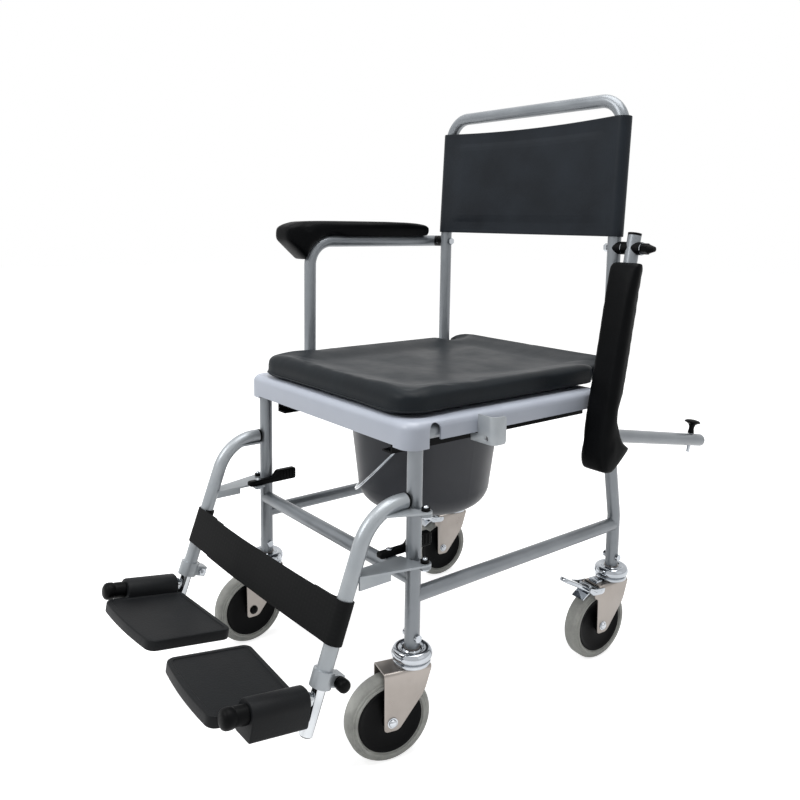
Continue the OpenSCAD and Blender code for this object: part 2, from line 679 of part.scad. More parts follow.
// Underside of the pad: flat on the tube, then round the outside of the bend, then up to the tip
nose_r = arm_bend_r + tube_r + 2 * seat_gap;
function pad_low(s) = s < arm_reach - arm_bend_r ? tube_r + seat_gap
    : s < arm_reach + tube_r ? max(pad_nose_low,
        sqrt(max(0, nose_r * nose_r - pow(s - arm_reach + arm_bend_r, 2))) - arm_bend_r)
    : pad_nose_low + nose_lift * (s - arm_reach - tube_r) / (pad_end - arm_reach - tube_r);
function nose_t(s) = max(0, (s - pad_end + nose_round_l) / nose_round_l);
function pad_top(s) = tube_r + pad_h - pad_crown * pow(2 * (s - pad_start) / (pad_end - pad_start) - 1, 4)
    - nose_drop * (1 - sqrt(max(0, 1 - pow(nose_t(s), 2))))
    - (s < pad_start + pad_round_l ? heel_drop_share * pad_h * pow(1 - (s - pad_start) / pad_round_l, 2) : 0);
function pad_half(s) = pad_w / 2 * (1 - nose_taper_share * pow(nose_t(s), 2)
    - (s < pad_start + pad_round_l ? heel_taper_share * pow(1 - (s - pad_start) / pad_round_l, 2) : 0));
pad_station_shares = [0, 0.01, 0.03, 0.055, 0.15, 0.3, 0.45, 0.6, 0.695, 0.74, 0.78, 0.81, 0.83, 0.845,
    0.855, 0.865, 0.9, 0.93, 0.955, 0.975, 0.99, 0.997];
module arm_pad(side) color(vinyl) at_arm(side) loft([for (t = pad_station_shares)
    let (s = pad_start + t * (pad_end - pad_start))
    soft_ring(arm_x + pad_shift, -s, pad_half(s), pad_low(s), pad_top(s), 0, pad_points,
        pad_edge_share)]);
knob_l = 26;
knob_r = 14;
knob_neck_r = 5.5;
knob_head_t = 6;
pin_tip = 12;
pull_travel = 14;
module pull_pin(side) color(black_plastic) at_arm(side)
    translate([arm_x, -arm_reach + (side < 0 ? pull_travel : 0), pin_rise - arm_post]) {
        bar_y(-tube_r - pin_tip, tube_r + knob_l, pull_pin_d / 2);
        bar_y(tube_r + side_gap, tube_r + knob_l - knob_head_t, knob_neck_r);
        bar_y(tube_r + knob_l - knob_head_t, tube_r + knob_l, knob_r);
    }

// Leg rest hangers
hanger_tail = 17;
end_cap_t = 3.5;
collar_r = 15;
collar_l = 22;
clamp_lug_r = 8;
clamp_lug_l = 14;
clamp_out = 19;
clamp_screw_r = 3;
clamp_rise = 10;
module at_slope() translate([half_w, slope_y(hanger_end_z), hanger_end_z])
    rotate([-hanger_slope, 0, 0]) children();
slope_l = (hanger_top_z - hanger_end_z) / cos(hanger_slope) - bend_run;
hanger_moves = [hanger_reach - bend_run - hanger_tail, [hanger_bend_r, bend_turn, 0], slope_l];
module hanger_run(r, over) translate([half_w, front_y - hanger_tail, hanger_top_z]) rotate([90, 0, 0])
    rotate([0, 0, -90]) run(hanger_moves, r, over);
module hanger_plates() {
    swing_gap = side_gap + weld_gap;
    for (k = [0, 1]) translate([0, 0, plate_levels[k] - hanger_plate_t / 2])
        linear_extrude(hanger_plate_t) difference() {
            union() {
                translate([pin_x, pin_y]) circle(eye_r);
                polygon([[pin_x - eye_r / 2, pin_y - eye_r / 2], [pin_x + eye_r, pin_y - eye_r / 4],
                    [half_w + tube_r, slope_root(k)], [half_w - tube_r, slope_root(k)],
                    [half_w - tube_r, front_y - tube_r - end_cap_t]]);
                if (k == 1) translate([lever_x - eye_r, lever_y - eye_r])
                    square([half_w - lever_x + eye_r, 2 * eye_r]);
            }
            translate([half_w, front_y]) circle(tube_r + swing_gap);
            translate([half_w - 2 * tube_d, front_y - tube_r - swing_gap])
                square([2 * tube_d + tube_r, tube_d]);
            translate([pin_x, pin_y]) circle(pin_r + run_gap);
            if (k == 1) translate([lever_x, lever_y]) circle(lever_pin_r + run_gap);
        }
    // folded lip under the front of the lower plate
    translate([half_w + tube_r - hanger_plate_t, slope_root(1), lower_plate_z - channel_h])
        cube([hanger_plate_t, channel_l, channel_h]);
}
function slope_root(k) = k == 0 ? corner_y + bend_run / 3 : slope_y(lower_plate_z) + tube_r / 2;
channel_h = 18;
channel_l = 52;
module hanger(side) color(light_paint) placed() sided(side) difference() {
    union() {
        hanger_run(tube_r, 0);
        hanger_plates();
        at_slope() {
            bar_z(0, collar_l, collar_r);
            translate([-clamp_out / 2, 0, clamp_rise - clamp_lug_r])
                cube([clamp_out, collar_r + clamp_lug_l, 2 * clamp_lug_r]);
        }
    }
    hanger_run(extension_d / 2 + run_gap, cut_over);
    // room for the end cap, flush with the rear end of the tube
    translate([half_w, 0, hanger_top_z]) bar_y(front_y - hanger_tail, front_y + tube_d, tube_r + seat_gap);
    at_slope() translate([0, collar_r + clamp_lug_l - clamp_lug_r, clamp_rise])
        bar_x(-clamp_out, clamp_out, clamp_screw_r + run_gap);
}
module hanger_cap(side) color(black_plastic) placed() sided(side)
    translate([half_w, front_y - hanger_tail, hanger_top_z]) bar_y(0, end_cap_t, tube_r);
knob_screw_l = 10;
clamp_knob_r = 9;
clamp_knob_l = 18;
clamp_nut_t = 5;
clamp_nut_r = 6;
module clamp_knob(side) color(black_plastic) placed() sided(side) at_slope()
    translate([0, collar_r + clamp_lug_l - clamp_lug_r, clamp_rise]) {
        bar_x(-clamp_out / 2 - seat_gap - clamp_nut_t, clamp_out / 2 + knob_screw_l, clamp_screw_r);
        bar_x(clamp_out / 2 + seat_gap, clamp_out / 2 + seat_gap + clamp_knob_l, clamp_knob_r);
        translate([-clamp_out / 2 - seat_gap - clamp_nut_t, 0, 0]) rotate([0, 90, 0])
            cylinder(h = clamp_nut_t, r = clamp_nut_r, $fn = 6);
    }
// Latch lever on the lower plate, along the inner side of the leg
lever_in = 20;
lever_lead = 28;
lever_x = half_w - lever_in;
lever_y = front_y - lever_lead;
lever_pin_r = 3;
lever_pin_low = hanger_plate_t + 2 * seat_gap;
lever_t = 9;
lever_w = 11;
lever_front = 18;
lever_l = 92;
paddle_l = 36;
paddle_h = 20;
module latch_lever(side) color(black_plastic) placed() sided(side)
    translate([lever_x, lever_y, lower_plate_z + hanger_plate_t / 2 + seat_gap]) {
        translate([-lever_w / 2, -lever_front, 0]) cube([lever_w, lever_l, lever_t]);
        translate([-lever_w / 2, lever_l - lever_front - paddle_l, 0])
            cube([lever_w, paddle_l, paddle_h]);
        bar_z(-lever_pin_low - lever_pin_r, lever_t + lever_pin_r / 2, lever_pin_r);
        bar_z(-lever_pin_low - lever_pin_r, -lever_pin_low, 2 * lever_pin_r);
    }
// Calf strap: a loop on each hanger tube, the long band sewn to the left loop
strap_low = 56;
strap_split_share = 0.79;
strap_joint = 2;
strap_cut_x = half_w - strap_split_share * frame_w;
module strap(side) {
    loop_r = tube_r + seat_gap;
    far_x = side > 0 ? strap_cut_x + strap_joint / 2 : -strap_cut_x + strap_joint / 2;
    at_slope() translate([0, 0, strap_low]) linear_extrude(strap_w) difference() {
        union() {
            circle(loop_r + strap_t);
            translate([far_x - half_w, -loop_r - strap_t]) square([half_w - far_x, strap_t]);
        }
        circle(loop_r);
    }
}
module calf_strap(side) color(vinyl) placed() sided(side) strap(side);

// Extension tube with the footplate hinge rod
extension_in = 110;
rod_r = rod_d / 2;
extension_low = (hanger_end_z - extension_end_z) / cos(hanger_slope);
module at_rod() translate([half_w, slope_y(rod_z), rod_z]) rotate([-plate_tilt, 0, 0]) children();
module extension(side) color(chrome) placed() sided(side) {
    at_slope() difference() {
        bar_z(-extension_low, extension_in, extension_d / 2);
        bar_z(-extension_low - cut_over, extension_in + cut_over, extension_d / 2 - tube_wall);
    }
    at_rod() bar_y(-rod_l + cap_round, 0, rod_r);
}
cap_l = 34;
module rod_cap(side) color(black_plastic) placed() sided(side) at_rod() difference() {
    translate([0, -rod_l, 0]) rotate([-90, 0, 0]) rotate_extrude() {
        translate([0, cap_round]) square([cap_r, cap_l - cap_round]);
        square([cap_r - cap_round, cap_l]);
        translate([cap_r - cap_round, cap_round]) circle(cap_round);
    }
    bar_y(-rod_l + cap_round - seat_gap, cut_over - rod_l + cap_l, rod_r + run_gap);
}

// Footplate and its hinge housing, drawn along the rod
plate_start = 13;
plate_back = 9.5;
plate_sweep = 10;
plate_drop = 22;
plate_inner = 17;
plate_w = half_w - plate_inner - plate_gap;
plate_corner_r = 14;
housing_start = 19;
housing_gap = 0.6;
housing_l = rod_l - cap_l - housing_start - housing_gap;
housing_out = 18;
housing_in = 22;
housing_low = 30;
housing_top = 17;
// Longer at its inner edge, where it runs back past the hinge
plate_in_x = plate_corner_r - plate_inner - plate_w;
plate_out_x = -plate_inner - plate_corner_r;
plate_front_y = plate_corner_r - plate_start - plate_l;
plate_rear_y = -plate_start - plate_corner_r;
plate_rounds = [[plate_in_x, plate_front_y + plate_sweep], [plate_out_x, plate_front_y],
    [plate_out_x, plate_rear_y], [plate_in_x, plate_rear_y + plate_back]];
function outset(a, b, r) = let (d = b - a, n = r * [d[1], -d[0]] / norm(d)) [a + n, b + n];
module plate_outline() {
    polygon([for (k = [0 : 3]) each outset(plate_rounds[k], plate_rounds[(k + 1) % 4], plate_corner_r)]);
    for (centre = plate_rounds) translate(centre) circle(plate_corner_r);
}
module footplate(side) color(black_plastic) placed() sided(side) at_rod() difference() {
    union() {
        translate([0, 0, -plate_drop]) linear_extrude(plate_t) {
            plate_outline();
            translate([-plate_inner - plate_corner_r, -housing_start - housing_l])
                square([plate_corner_r + housing_in / 2, housing_l]);
        }
        translate([0, -housing_start, 0]) rotate([90, 0, 0]) linear_extrude(housing_l) {
            rounded_rect(-housing_in, housing_out, housing_top - 2 * housing_out, housing_top,
                housing_out - cut_over);
            translate([-housing_in, -housing_low]) square([housing_in + housing_out, housing_low]);
        }
    }
    bar_y(-rod_l, 0, rod_r + run_gap);
    translate([0, -rod_l - plate_start, 0]) bar_y(0, cap_l + plate_start + housing_gap, cap_r + side_gap);
}

// Pail and its wire bail, whose ears stand askew
rim_t = 4;
rim_z = ledge_z + seat_gap;
pail_round = 40;
pail_taper = 0.09;
pail_turn = 50;
ear_r = 7;
ear_t = 4;
ear_drop = 8;
bail_l = 172;
bail_slope = 48;
bail_corner_r = 6;
bail_side = pail_d / 2 + ear_t + side_gap + bail_corner_r;
pail_low_r = pail_d / 2 - pail_h * pail_taper;
module pail_profile(inset) {
    polygon([[0, inset], [pail_low_r - pail_round, inset], [pail_low_r - inset, pail_round],
        [pail_d / 2 - inset, pail_h + (inset > 0 ? rim_t + cut_over : 0)],
        [0, pail_h + (inset > 0 ? rim_t + cut_over : 0)]]);
    translate([pail_low_r - pail_round, pail_round]) circle(pail_round - inset);
}
module at_pail() placed() translate([0, pail_y, rim_z - pail_h]) children();
module at_bail() at_pail() translate([0, 0, pail_h - ear_drop]) rotate([0, 0, -pail_turn]) children();
module pail() color(pail_grey) difference() {
    union() {
        at_pail() rotate_extrude() {
            intersection() {
                pail_profile(0);
                square([pail_d, pail_h]);
            }
            translate([pail_d / 2 - pail_wall, pail_h])
                square([rim_d / 2 - pail_d / 2 + pail_wall, rim_t]);
        }
        at_bail() for (x = [-1, 1]) translate([x * pail_d / 2, 0, 0]) bar_x(-ear_t, ear_t, ear_r);
    }
    at_pail() rotate_extrude() intersection() {
        pail_profile(pail_wall);
        square([pail_d, pail_h + rim_t + cut_over]);
    }
    at_bail() for (x = [-1, 1]) translate([x * pail_d / 2, 0, 0])
        bar_x(-ear_t - cut_over, ear_t + cut_over, bail_d / 2 + run_gap);
}
bail_foot = bail_side - bail_corner_r - pail_d / 2 + ear_t / 2;
bail_leg = bail_l - bail_side - bail_corner_r;
bail_moves = [bail_foot, [bail_corner_r, 90, -90], bail_leg, [bail_side, 180, -90], bail_leg,
    [bail_corner_r, 90, -90], bail_foot];
module bail() color(chrome) at_bail() rotate([bail_slope, 0, 0])
    translate([pail_d / 2 - ear_t / 2, 0, 0]) rotate([0, 90, 0]) run(bail_moves, bail_d / 2);

// Seat cushion, notched round the uprights, with a dished top and rounded borders
cushion_low_z = seat_top_z + seat_gap;
cushion_w = frame_w + cushion_over;
cushion_inset = 2;
cushion_front_y = seat_front_y + cushion_inset;
notch_gap = 6;
notch_front_y = upright_y - tube_r - notch_gap;
notch_rear_y = upright_y + tube_r + notch_gap;
tail_l = 48;
cushion_rear_y = notch_rear_y + tail_l;
notch_half = half_w - tube_r - notch_gap;
tail_over = 8;
tail_half = cushion_w / 2 + tail_over;
cushion_round = 45;
cushion_edge = 14;
tail_round = 24;
cushion_points = 24;
cushion_edge_share = 0.32;
low_lift_share = 0.12;
top_drop_share = 0.45;
cushion_steps = 14;
function edge_in(d, r) = r - sqrt(max(0, r * r - pow(max(0, r - d), 2)));
function cushion_half(y) = y < notch_front_y
    ? cushion_w / 2 - edge_in(y - cushion_front_y, cushion_round)
        - edge_in(notch_front_y - y, cushion_round / 2)
    : y < notch_rear_y ? notch_half
    : tail_half - edge_in(y - notch_rear_y, tail_round / 2) - edge_in(cushion_rear_y - y, tail_round);
function cushion_end(y) = edge_in(min(y - cushion_front_y, cushion_rear_y - y), cushion_edge)
    / cushion_edge;
function cushion_ring(y) = soft_ring(0, y, max(cushion_half(y), notch_half / 2),
    cushion_low_z + cushion_h * low_lift_share * cushion_end(y),
    cushion_low_z + cushion_h * (1 - top_drop_share * cushion_end(y)),
    cushion_dish * (1 - pow(abs(2 * (y - cushion_front_y) / (cushion_rear_y - cushion_front_y) - 1), 4)),
    cushion_points, cushion_edge_share);
front_stations = [for (i = [0 : cushion_steps / 2])
    cushion_front_y + cushion_round * pow(2 * i / cushion_steps, 2)];
mid_stations = [for (i = [1 : cushion_steps]) cushion_front_y + cushion_round
    + (notch_front_y - cushion_front_y - 1.5 * cushion_round) * i / cushion_steps];
corner_stations = [for (i = [1 : cushion_steps / 2])
    notch_front_y - cushion_round / 2 * pow(1 - 2 * i / cushion_steps, 2) - weld_gap];
tail_stations = [for (i = [0 : cushion_steps]) notch_rear_y + tail_l * i / cushion_steps];
cushion_stations = concat(front_stations, mid_stations, corner_stations,
    [notch_front_y + weld_gap, notch_rear_y - weld_gap], tail_stations);
module seat_cushion() color(vinyl) placed() loft([for (y = cushion_stations) cushion_ring(y)]);

module fork_fl() fork(0);
module race_fl() race(0);
module tyre_fl() tyre(0);
module hub_fl() hub(0);
module fork_fr() fork(1);
module race_fr() race(1);
module tyre_fr() tyre(1);
module hub_fr() hub(1);
module fork_rl() fork(2);
module race_rl() race(2);
module tyre_rl() tyre(2);
module hub_rl() hub(2);
module fork_rr() fork(3);
module race_rr() race(3);
module tyre_rr() tyre(3);
module hub_rr() hub(3);
module brake_pedal_rl() brake_pedal(2);
module brake_pedal_rr() brake_pedal(3);
module arm_tube_left() arm_tube(1);
module arm_tube_right() arm_tube(-1);
module arm_pad_left() arm_pad(1);
module arm_pad_right() arm_pad(-1);
module arm_trim_left() arm_trim(1);
module arm_trim_right() arm_trim(-1);
module pull_pin_left() pull_pin(1);
module pull_pin_right() pull_pin(-1);
module hanger_left() hanger(1);
module hanger_right() hanger(-1);
module hanger_cap_left() hanger_cap(1);
module hanger_cap_right() hanger_cap(-1);
module calf_strap_left() calf_strap(1);
module calf_strap_right() calf_strap(-1);
module latch_lever_left() latch_lever(1);
module latch_lever_right() latch_lever(-1);
module clamp_knob_left() clamp_knob(1);
module clamp_knob_right() clamp_knob(-1);
module extension_left() extension(1);
module extension_right() extension(-1);
module rod_cap_left() rod_cap(1);
module footplate_left() footplate(1);
module rod_cap_right() rod_cap(-1);
module footplate_right() footplate(-1);

front_legs();
back_frame();
lower_side_rails();
front_crossbar();
seat_tubes();
commode_seat();
pail_rails();
arm_receivers();
hanger_lugs();
hanger_pins();
pin_bushes();
back_sling();
frame_bolts();
arm_pivot_saddles();
castor_stems();
fork_fl();
race_fl();
tyre_fl();
hub_fl();
fork_fr();
race_fr();
tyre_fr();
hub_fr();
fork_rl();
race_rl();
tyre_rl();
hub_rl();
fork_rr();
race_rr();
tyre_rr();
hub_rr();
brake_pedal_rl();
brake_pedal_rr();
arm_tube_left();
arm_pad_left();
arm_trim_left();
pull_pin_left();
arm_tube_right();
arm_pad_right();
arm_trim_right();
pull_pin_right();
hanger_left();
hanger_cap_left();
calf_strap_left();
latch_lever_left();
clamp_knob_left();
extension_left();
rod_cap_left();
footplate_left();
hanger_right();
hanger_cap_right();
calf_strap_right();
latch_lever_right();
clamp_knob_right();
extension_right();
rod_cap_right();
footplate_right();
pail();
bail();
seat_cushion();
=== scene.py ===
import math
import bmesh
import bpy
from mathutils import Matrix, Vector


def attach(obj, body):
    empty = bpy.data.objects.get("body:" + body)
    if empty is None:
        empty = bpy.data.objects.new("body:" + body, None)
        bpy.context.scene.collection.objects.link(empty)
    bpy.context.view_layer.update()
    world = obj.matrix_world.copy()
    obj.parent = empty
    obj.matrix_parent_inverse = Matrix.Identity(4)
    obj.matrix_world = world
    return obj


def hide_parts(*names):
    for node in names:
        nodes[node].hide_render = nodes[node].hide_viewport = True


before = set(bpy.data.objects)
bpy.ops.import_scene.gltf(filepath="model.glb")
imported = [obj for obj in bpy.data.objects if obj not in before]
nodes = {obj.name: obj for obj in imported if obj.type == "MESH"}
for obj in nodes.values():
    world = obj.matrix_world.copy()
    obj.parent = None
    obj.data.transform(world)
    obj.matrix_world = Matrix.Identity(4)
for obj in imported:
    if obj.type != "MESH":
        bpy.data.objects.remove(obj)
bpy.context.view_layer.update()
scene = bpy.context.scene
scene.view_settings.view_transform = "Standard"

# pieces are drawn in millimetres from the middle of the seat, and put into the frame at the end
mm = 0.001
nearly = 0.01  # heights that differ by less count as one
chair = dict(behind=20.2131, halfW=208, frontLeg=-202, rearLeg=256, upright=220)  # places of the tubes
chairPlace = Matrix.Translation((0, chair["behind"] * mm, 0)) @ Matrix.Scale(mm, 4)
print("frame loaded:", len(nodes), "nodes")


# finishes
def paint(code):  # a colour as it reads on screen, to the linear value that the shader takes
    parts = [int(code[i:i + 2], 16) / 255 for i in (1, 3, 5)]
    return [c / 12.92 if c <= 0.04045 else ((c + 0.055) / 1.055) ** 2.4 for c in parts] + [1]


def grey(value):
    return (value, value, value, 1)


def startFinish(name):
    finish = bpy.data.materials.new(name)
    finish.use_nodes = True
    return finish, finish.node_tree, finish.node_tree.nodes["Principled BSDF"]


def addNode(tree, kind, sockets=None, links=None, stops=None, **settings):
    made = tree.nodes.new(kind)
    for key, value in settings.items():
        setattr(made, key, value)
    for key, value in (sockets or {}).items():
        made.inputs[key].default_value = value
    for key, (source, out) in (links or {}).items():
        tree.links.new(source.outputs[out], made.inputs[key])
    for k, (spot, colour) in enumerate(stops or []):
        stop = made.color_ramp.elements[k] if k < 2 else made.color_ramp.elements.new(spot)
        stop.position, stop.color = spot, colour
    return made


def feed(tree, shader, **sources):  # wires sources into the shader by socket name
    for key, (source, out) in sources.items():
        tree.links.new(source.outputs[out], shader.inputs[key.replace("_", " ")])


def tune(shader, **values):  # sets plain values of the shader by socket name
    for key, value in values.items():
        shader.inputs[key.replace("_", " ")].default_value = value


def powderCoat(name, code, dark):
    # polyester powder baked on steel tube: satin silver grey with a faint orange peel
    finish, tree, shader = startFinish(name)
    place = addNode(tree, "ShaderNodeTexCoord")
    cloud = addNode(tree, "ShaderNodeTexNoise", {"Scale": 1 / (50 * mm), "Detail": 3},
                    {"Vector": (place, "Object")})
    tone = addNode(tree, "ShaderNodeValToRGB", links={"Fac": (cloud, "Fac")},
                   stops=[(0.35, paint(dark)), (0.65, paint(code))])
    gloss = addNode(tree, "ShaderNodeValToRGB", links={"Fac": (cloud, "Fac")},
                    stops=[(0.3, grey(0.28)), (0.7, grey(0.38))])
    # the peel is about 1 mm across, drawn at 3 mm so that it shows
    peel = addNode(tree, "ShaderNodeTexNoise", {"Scale": 1 / (3 * mm), "Detail": 1},
                   {"Vector": (place, "Object")})
    skin = addNode(tree, "ShaderNodeBump", {"Strength": 0.35, "Distance": 0.2 * mm},
                   {"Height": (peel, "Fac")})
    tune(shader, Metallic=0.35, Coat_Weight=0.12, Coat_Roughness=0.25)
    feed(tree, shader, Base_Color=(tone, "Color"), Roughness=(gloss, "Color"), Normal=(skin, "Normal"))
    return finish


def vinylHide(name, code, pale, grain, shine):
    # calendered vinyl on foam: near black, pressed hide grain, a soft broad sheen
    finish, tree, shader = startFinish(name)
    place = addNode(tree, "ShaderNodeTexCoord")
    cloud = addNode(tree, "ShaderNodeTexNoise", {"Scale": 1 / (70 * mm), "Detail": 4},
                    {"Vector": (place, "Object")})
    tone = addNode(tree, "ShaderNodeValToRGB", links={"Fac": (cloud, "Fac")},
                   stops=[(0.3, paint(code)), (0.75, paint(pale))])
    gloss = addNode(tree, "ShaderNodeValToRGB", links={"Fac": (cloud, "Fac")},
                    stops=[(0.3, grey(0.36)), (0.7, grey(0.5))])
    # hide grain is under 1 mm, drawn coarser so that it shows at this size
    cells = addNode(tree, "ShaderNodeTexVoronoi", {"Scale": 1 / (grain * mm)},
                    {"Vector": (place, "Object")}, feature="SMOOTH_F1")
    pull = addNode(tree, "ShaderNodeTexNoise", {"Scale": 1 / (35 * mm), "Detail": 2},
                   {"Vector": (place, "Object")})
    drawn = addNode(tree, "ShaderNodeBump", {"Strength": 0.3, "Distance": 1.5 * mm},
                    {"Height": (pull, "Fac")})
    skin = addNode(tree, "ShaderNodeBump", {"Strength": 0.25, "Distance": 0.3 * mm},
                   {"Height": (cells, "Distance"), "Normal": (drawn, "Normal")})
    tune(shader, Specular_IOR_Level=shine)
    feed(tree, shader, Base_Color=(tone, "Color"), Roughness=(gloss, "Color"), Normal=(skin, "Normal"))
    return finish


def moulded(name, code, pale, rough, grain, depth, shine=0.5):
    # injection moulded plastic: even colour, fine spark-eroded grain drawn coarse enough to show
    finish, tree, shader = startFinish(name)
    place = addNode(tree, "ShaderNodeTexCoord")
    cloud = addNode(tree, "ShaderNodeTexNoise", {"Scale": 1 / (80 * mm), "Detail": 3},
                    {"Vector": (place, "Object")})
    tone = addNode(tree, "ShaderNodeValToRGB", links={"Fac": (cloud, "Fac")},
                   stops=[(0.3, paint(code)), (0.7, paint(pale))])
    gloss = addNode(tree, "ShaderNodeValToRGB", links={"Fac": (cloud, "Fac")},
                    stops=[(0.3, grey(rough - 0.05)), (0.7, grey(rough + 0.06))])
    spark = addNode(tree, "ShaderNodeTexNoise", {"Scale": 1 / (grain * mm), "Detail": 2},
                    {"Vector": (place, "Object")})
    skin = addNode(tree, "ShaderNodeBump", {"Strength": 0.4, "Distance": depth * mm},
                   {"Height": (spark, "Fac")})
    tune(shader, IOR=1.49, Specular_IOR_Level=shine)
    feed(tree, shader, Base_Color=(tone, "Color"), Roughness=(gloss, "Color"), Normal=(skin, "Normal"))
    return finish


def brightMetal(name, code, dark, low, high, patch):
    # plated steel: mirror-like where it is chrome, cloudy where it is zinc
    finish, tree, shader = startFinish(name)
    place = addNode(tree, "ShaderNodeTexCoord")
    cloud = addNode(tree, "ShaderNodeTexNoise", {"Scale": 1 / (patch * mm), "Detail": 4},
                    {"Vector": (place, "Object")})
    tone = addNode(tree, "ShaderNodeValToRGB", links={"Fac": (cloud, "Fac")},
                   stops=[(0.3, paint(dark)), (0.6, paint(code))])
    gloss = addNode(tree, "ShaderNodeValToRGB", links={"Fac": (cloud, "Fac")},
                    stops=[(0.3, grey(low)), (0.7, grey(high))])
    wave = addNode(tree, "ShaderNodeBump", {"Strength": 0.06, "Distance": 0.2 * mm},
                   {"Height": (cloud, "Fac")})
    tune(shader, Metallic=1)
    feed(tree, shader, Base_Color=(tone, "Color"), Roughness=(gloss, "Color"), Normal=(wave, "Normal"))
    return finish


def wovenWebbing(name, code, pale):
    # polypropylene webbing: flat black tape, ribs along it crossed by yarns
    finish, tree, shader = startFinish(name)
    oneWave = math.pi / 10  # length of a wave at a scale of 1
    place = addNode(tree, "ShaderNodeTexCoord")
    tilt = addNode(tree, "ShaderNodeMapping", {"Rotation": (math.radians(20), 0, 0)},
                   {"Vector": (place, "Object")})
    # rib and yarn are 1 to 2 mm, drawn coarser so that they show
    ribs = addNode(tree, "ShaderNodeTexWave", {"Scale": oneWave / (5.92 * mm), "Distortion": 0.4},
                   {"Vector": (tilt, "Vector")}, bands_direction="Z")
    yarn = addNode(tree, "ShaderNodeTexWave", {"Scale": oneWave / (7.89 * mm), "Distortion": 0.4},
                   {"Vector": (tilt, "Vector")}, bands_direction="X")
    weave = addNode(tree, "ShaderNodeMath", links={0: (ribs, "Fac"), 1: (yarn, "Fac")},
                    operation="MULTIPLY")
    tone = addNode(tree, "ShaderNodeValToRGB", links={"Fac": (weave, "Value")},
                   stops=[(0.1, paint(code)), (0.9, paint(pale))])
    skin = addNode(tree, "ShaderNodeBump", {"Strength": 0.2, "Distance": 0.3 * mm},
                   {"Height": (weave, "Value")})
    tune(shader, Roughness=0.7, Specular_IOR_Level=0.12)
    feed(tree, shader, Base_Color=(tone, "Color"), Normal=(skin, "Normal"))
    return finish


def treadGum(name, code, dark):
    # grey thermoplastic rubber: dull, a little scuffed and dusty
    finish, tree, shader = startFinish(name)
    place = addNode(tree, "ShaderNodeTexCoord")
    scuff = addNode(tree, "ShaderNodeTexNoise", {"Scale": 1 / (20 * mm), "Detail": 6, "Roughness": 0.7},
                    {"Vector": (place, "Object")})
    tone = addNode(tree, "ShaderNodeValToRGB", links={"Fac": (scuff, "Fac")},
                   stops=[(0.3, paint(dark)), (0.6, paint(code))])
    gloss = addNode(tree, "ShaderNodeValToRGB", links={"Fac": (scuff, "Fac")},
                    stops=[(0.3, grey(0.75)), (0.7, grey(0.58))])
    skin = addNode(tree, "ShaderNodeBump", {"Strength": 0.3, "Distance": 0.4 * mm},
                   {"Height": (scuff, "Fac")})
    feed(tree, shader, Base_Color=(tone, "Color"), Roughness=(gloss, "Color"), Normal=(skin, "Normal"))
    return finish


framePaint = powderCoat("framePaint", "#878C91", "#7E8388")
hangerPaint = powderCoat("hangerPaint", "#A4A9AD", "#9AA0A5")
blackPlastic = moulded("blackPlastic", "#060607", "#0B0C0D", rough=0.4, grain=2.5, depth=0.2, shine=0.06)
footPlastic = moulded("footPlastic", "#0C0D0F", "#131517", rough=0.52, grain=3, depth=0.6, shine=0.14)
seatPlastic = moulded("seatPlastic", "#A8AEBA", "#B0B6C1", rough=0.36, grain=4, depth=0.1)
pailPlastic = moulded("pailPlastic", "#36383D", "#3E4045", rough=0.42, grain=4, depth=0.1, shine=0.3)
cushionVinyl = vinylHide("cushionVinyl", "#12161A", "#191E22", grain=2.6, shine=0.12)
slingVinyl = vinylHide("slingVinyl", "#1A1E23", "#22272D", grain=2.6, shine=0.12)
padSkin = vinylHide("padSkin", "#050607", "#090A0C", grain=2.2, shine=0.05)
webbing = wovenWebbing("webbing", "#08090A", "#0D0E0F")
chrome = brightMetal("chrome", "#B9BDC2", "#999EA4", low=0.07, high=0.15, patch=50)
brightSteel = brightMetal("brightSteel", "#C3C6C9", "#A9ADB1", low=0.08, high=0.16, patch=50)
zinc = brightMetal("zinc", "#98928D", "#8C8681", low=0.26, high=0.34, patch=60)
treadGrey = treadGum("treadGrey", "#A6A7A2", "#91928E")
print("finishes made")


# places
def turn(x=0, y=0, z=0):
    return (Matrix.Rotation(math.radians(z), 4, "Z") @ Matrix.Rotation(math.radians(y), 4, "Y")
            @ Matrix.Rotation(math.radians(x), 4, "X"))


def alongX(x=0):  # stands a flat outline up in Y and Z, with its thickness along X from here
    return Matrix(((0, 0, 1, x), (1, 0, 0, 0), (0, 1, 0, 0), (0, 0, 0, 1)))


def alongY(y=0):  # stands a flat outline up in X and Z, with its thickness along Y from here
    return Matrix(((1, 0, 0, 0), (0, 0, 1, y), (0, 1, 0, 0), (0, 0, 0, 1)))


def ramp(value, low, high):  # 0 below low, 1 above high, eased between them
    t = min(1.0, max(0.0, (value - low) / (high - low)))
    return t * t * (3 - 2 * t)


def rise(value, size):  # 0 below 0, 1 above size, straight between them
    return min(1, max(0, value / size))


# mesh helpers
def only(geom, kind):  # those of one kind among what an operator gives back
    return [g for g in geom if isinstance(g, kind)]


def isLevel(edge):
    return abs(edge.verts[0].co.z - edge.verts[1].co.z) < nearly


def onFace(bm, points, z=0):  # one flat face from its corners
    return bm.faces.new([bm.verts.new((x, y, z)) for x, y in points])


def roundOff(bm, corners, size, steps):  # rounds corners of a flat face
    bmesh.ops.bevel(bm, geom=corners, offset=size, segments=steps, profile=0.5, affect="VERTICES",
                    offset_type="OFFSET", material=-1)


def softEdges(bm, edges, size, steps):
    bmesh.ops.bevel(bm, geom=edges, offset=size, segments=steps, profile=0.5, affect="EDGES",
                    offset_type="OFFSET", material=-1, clamp_overlap=True)


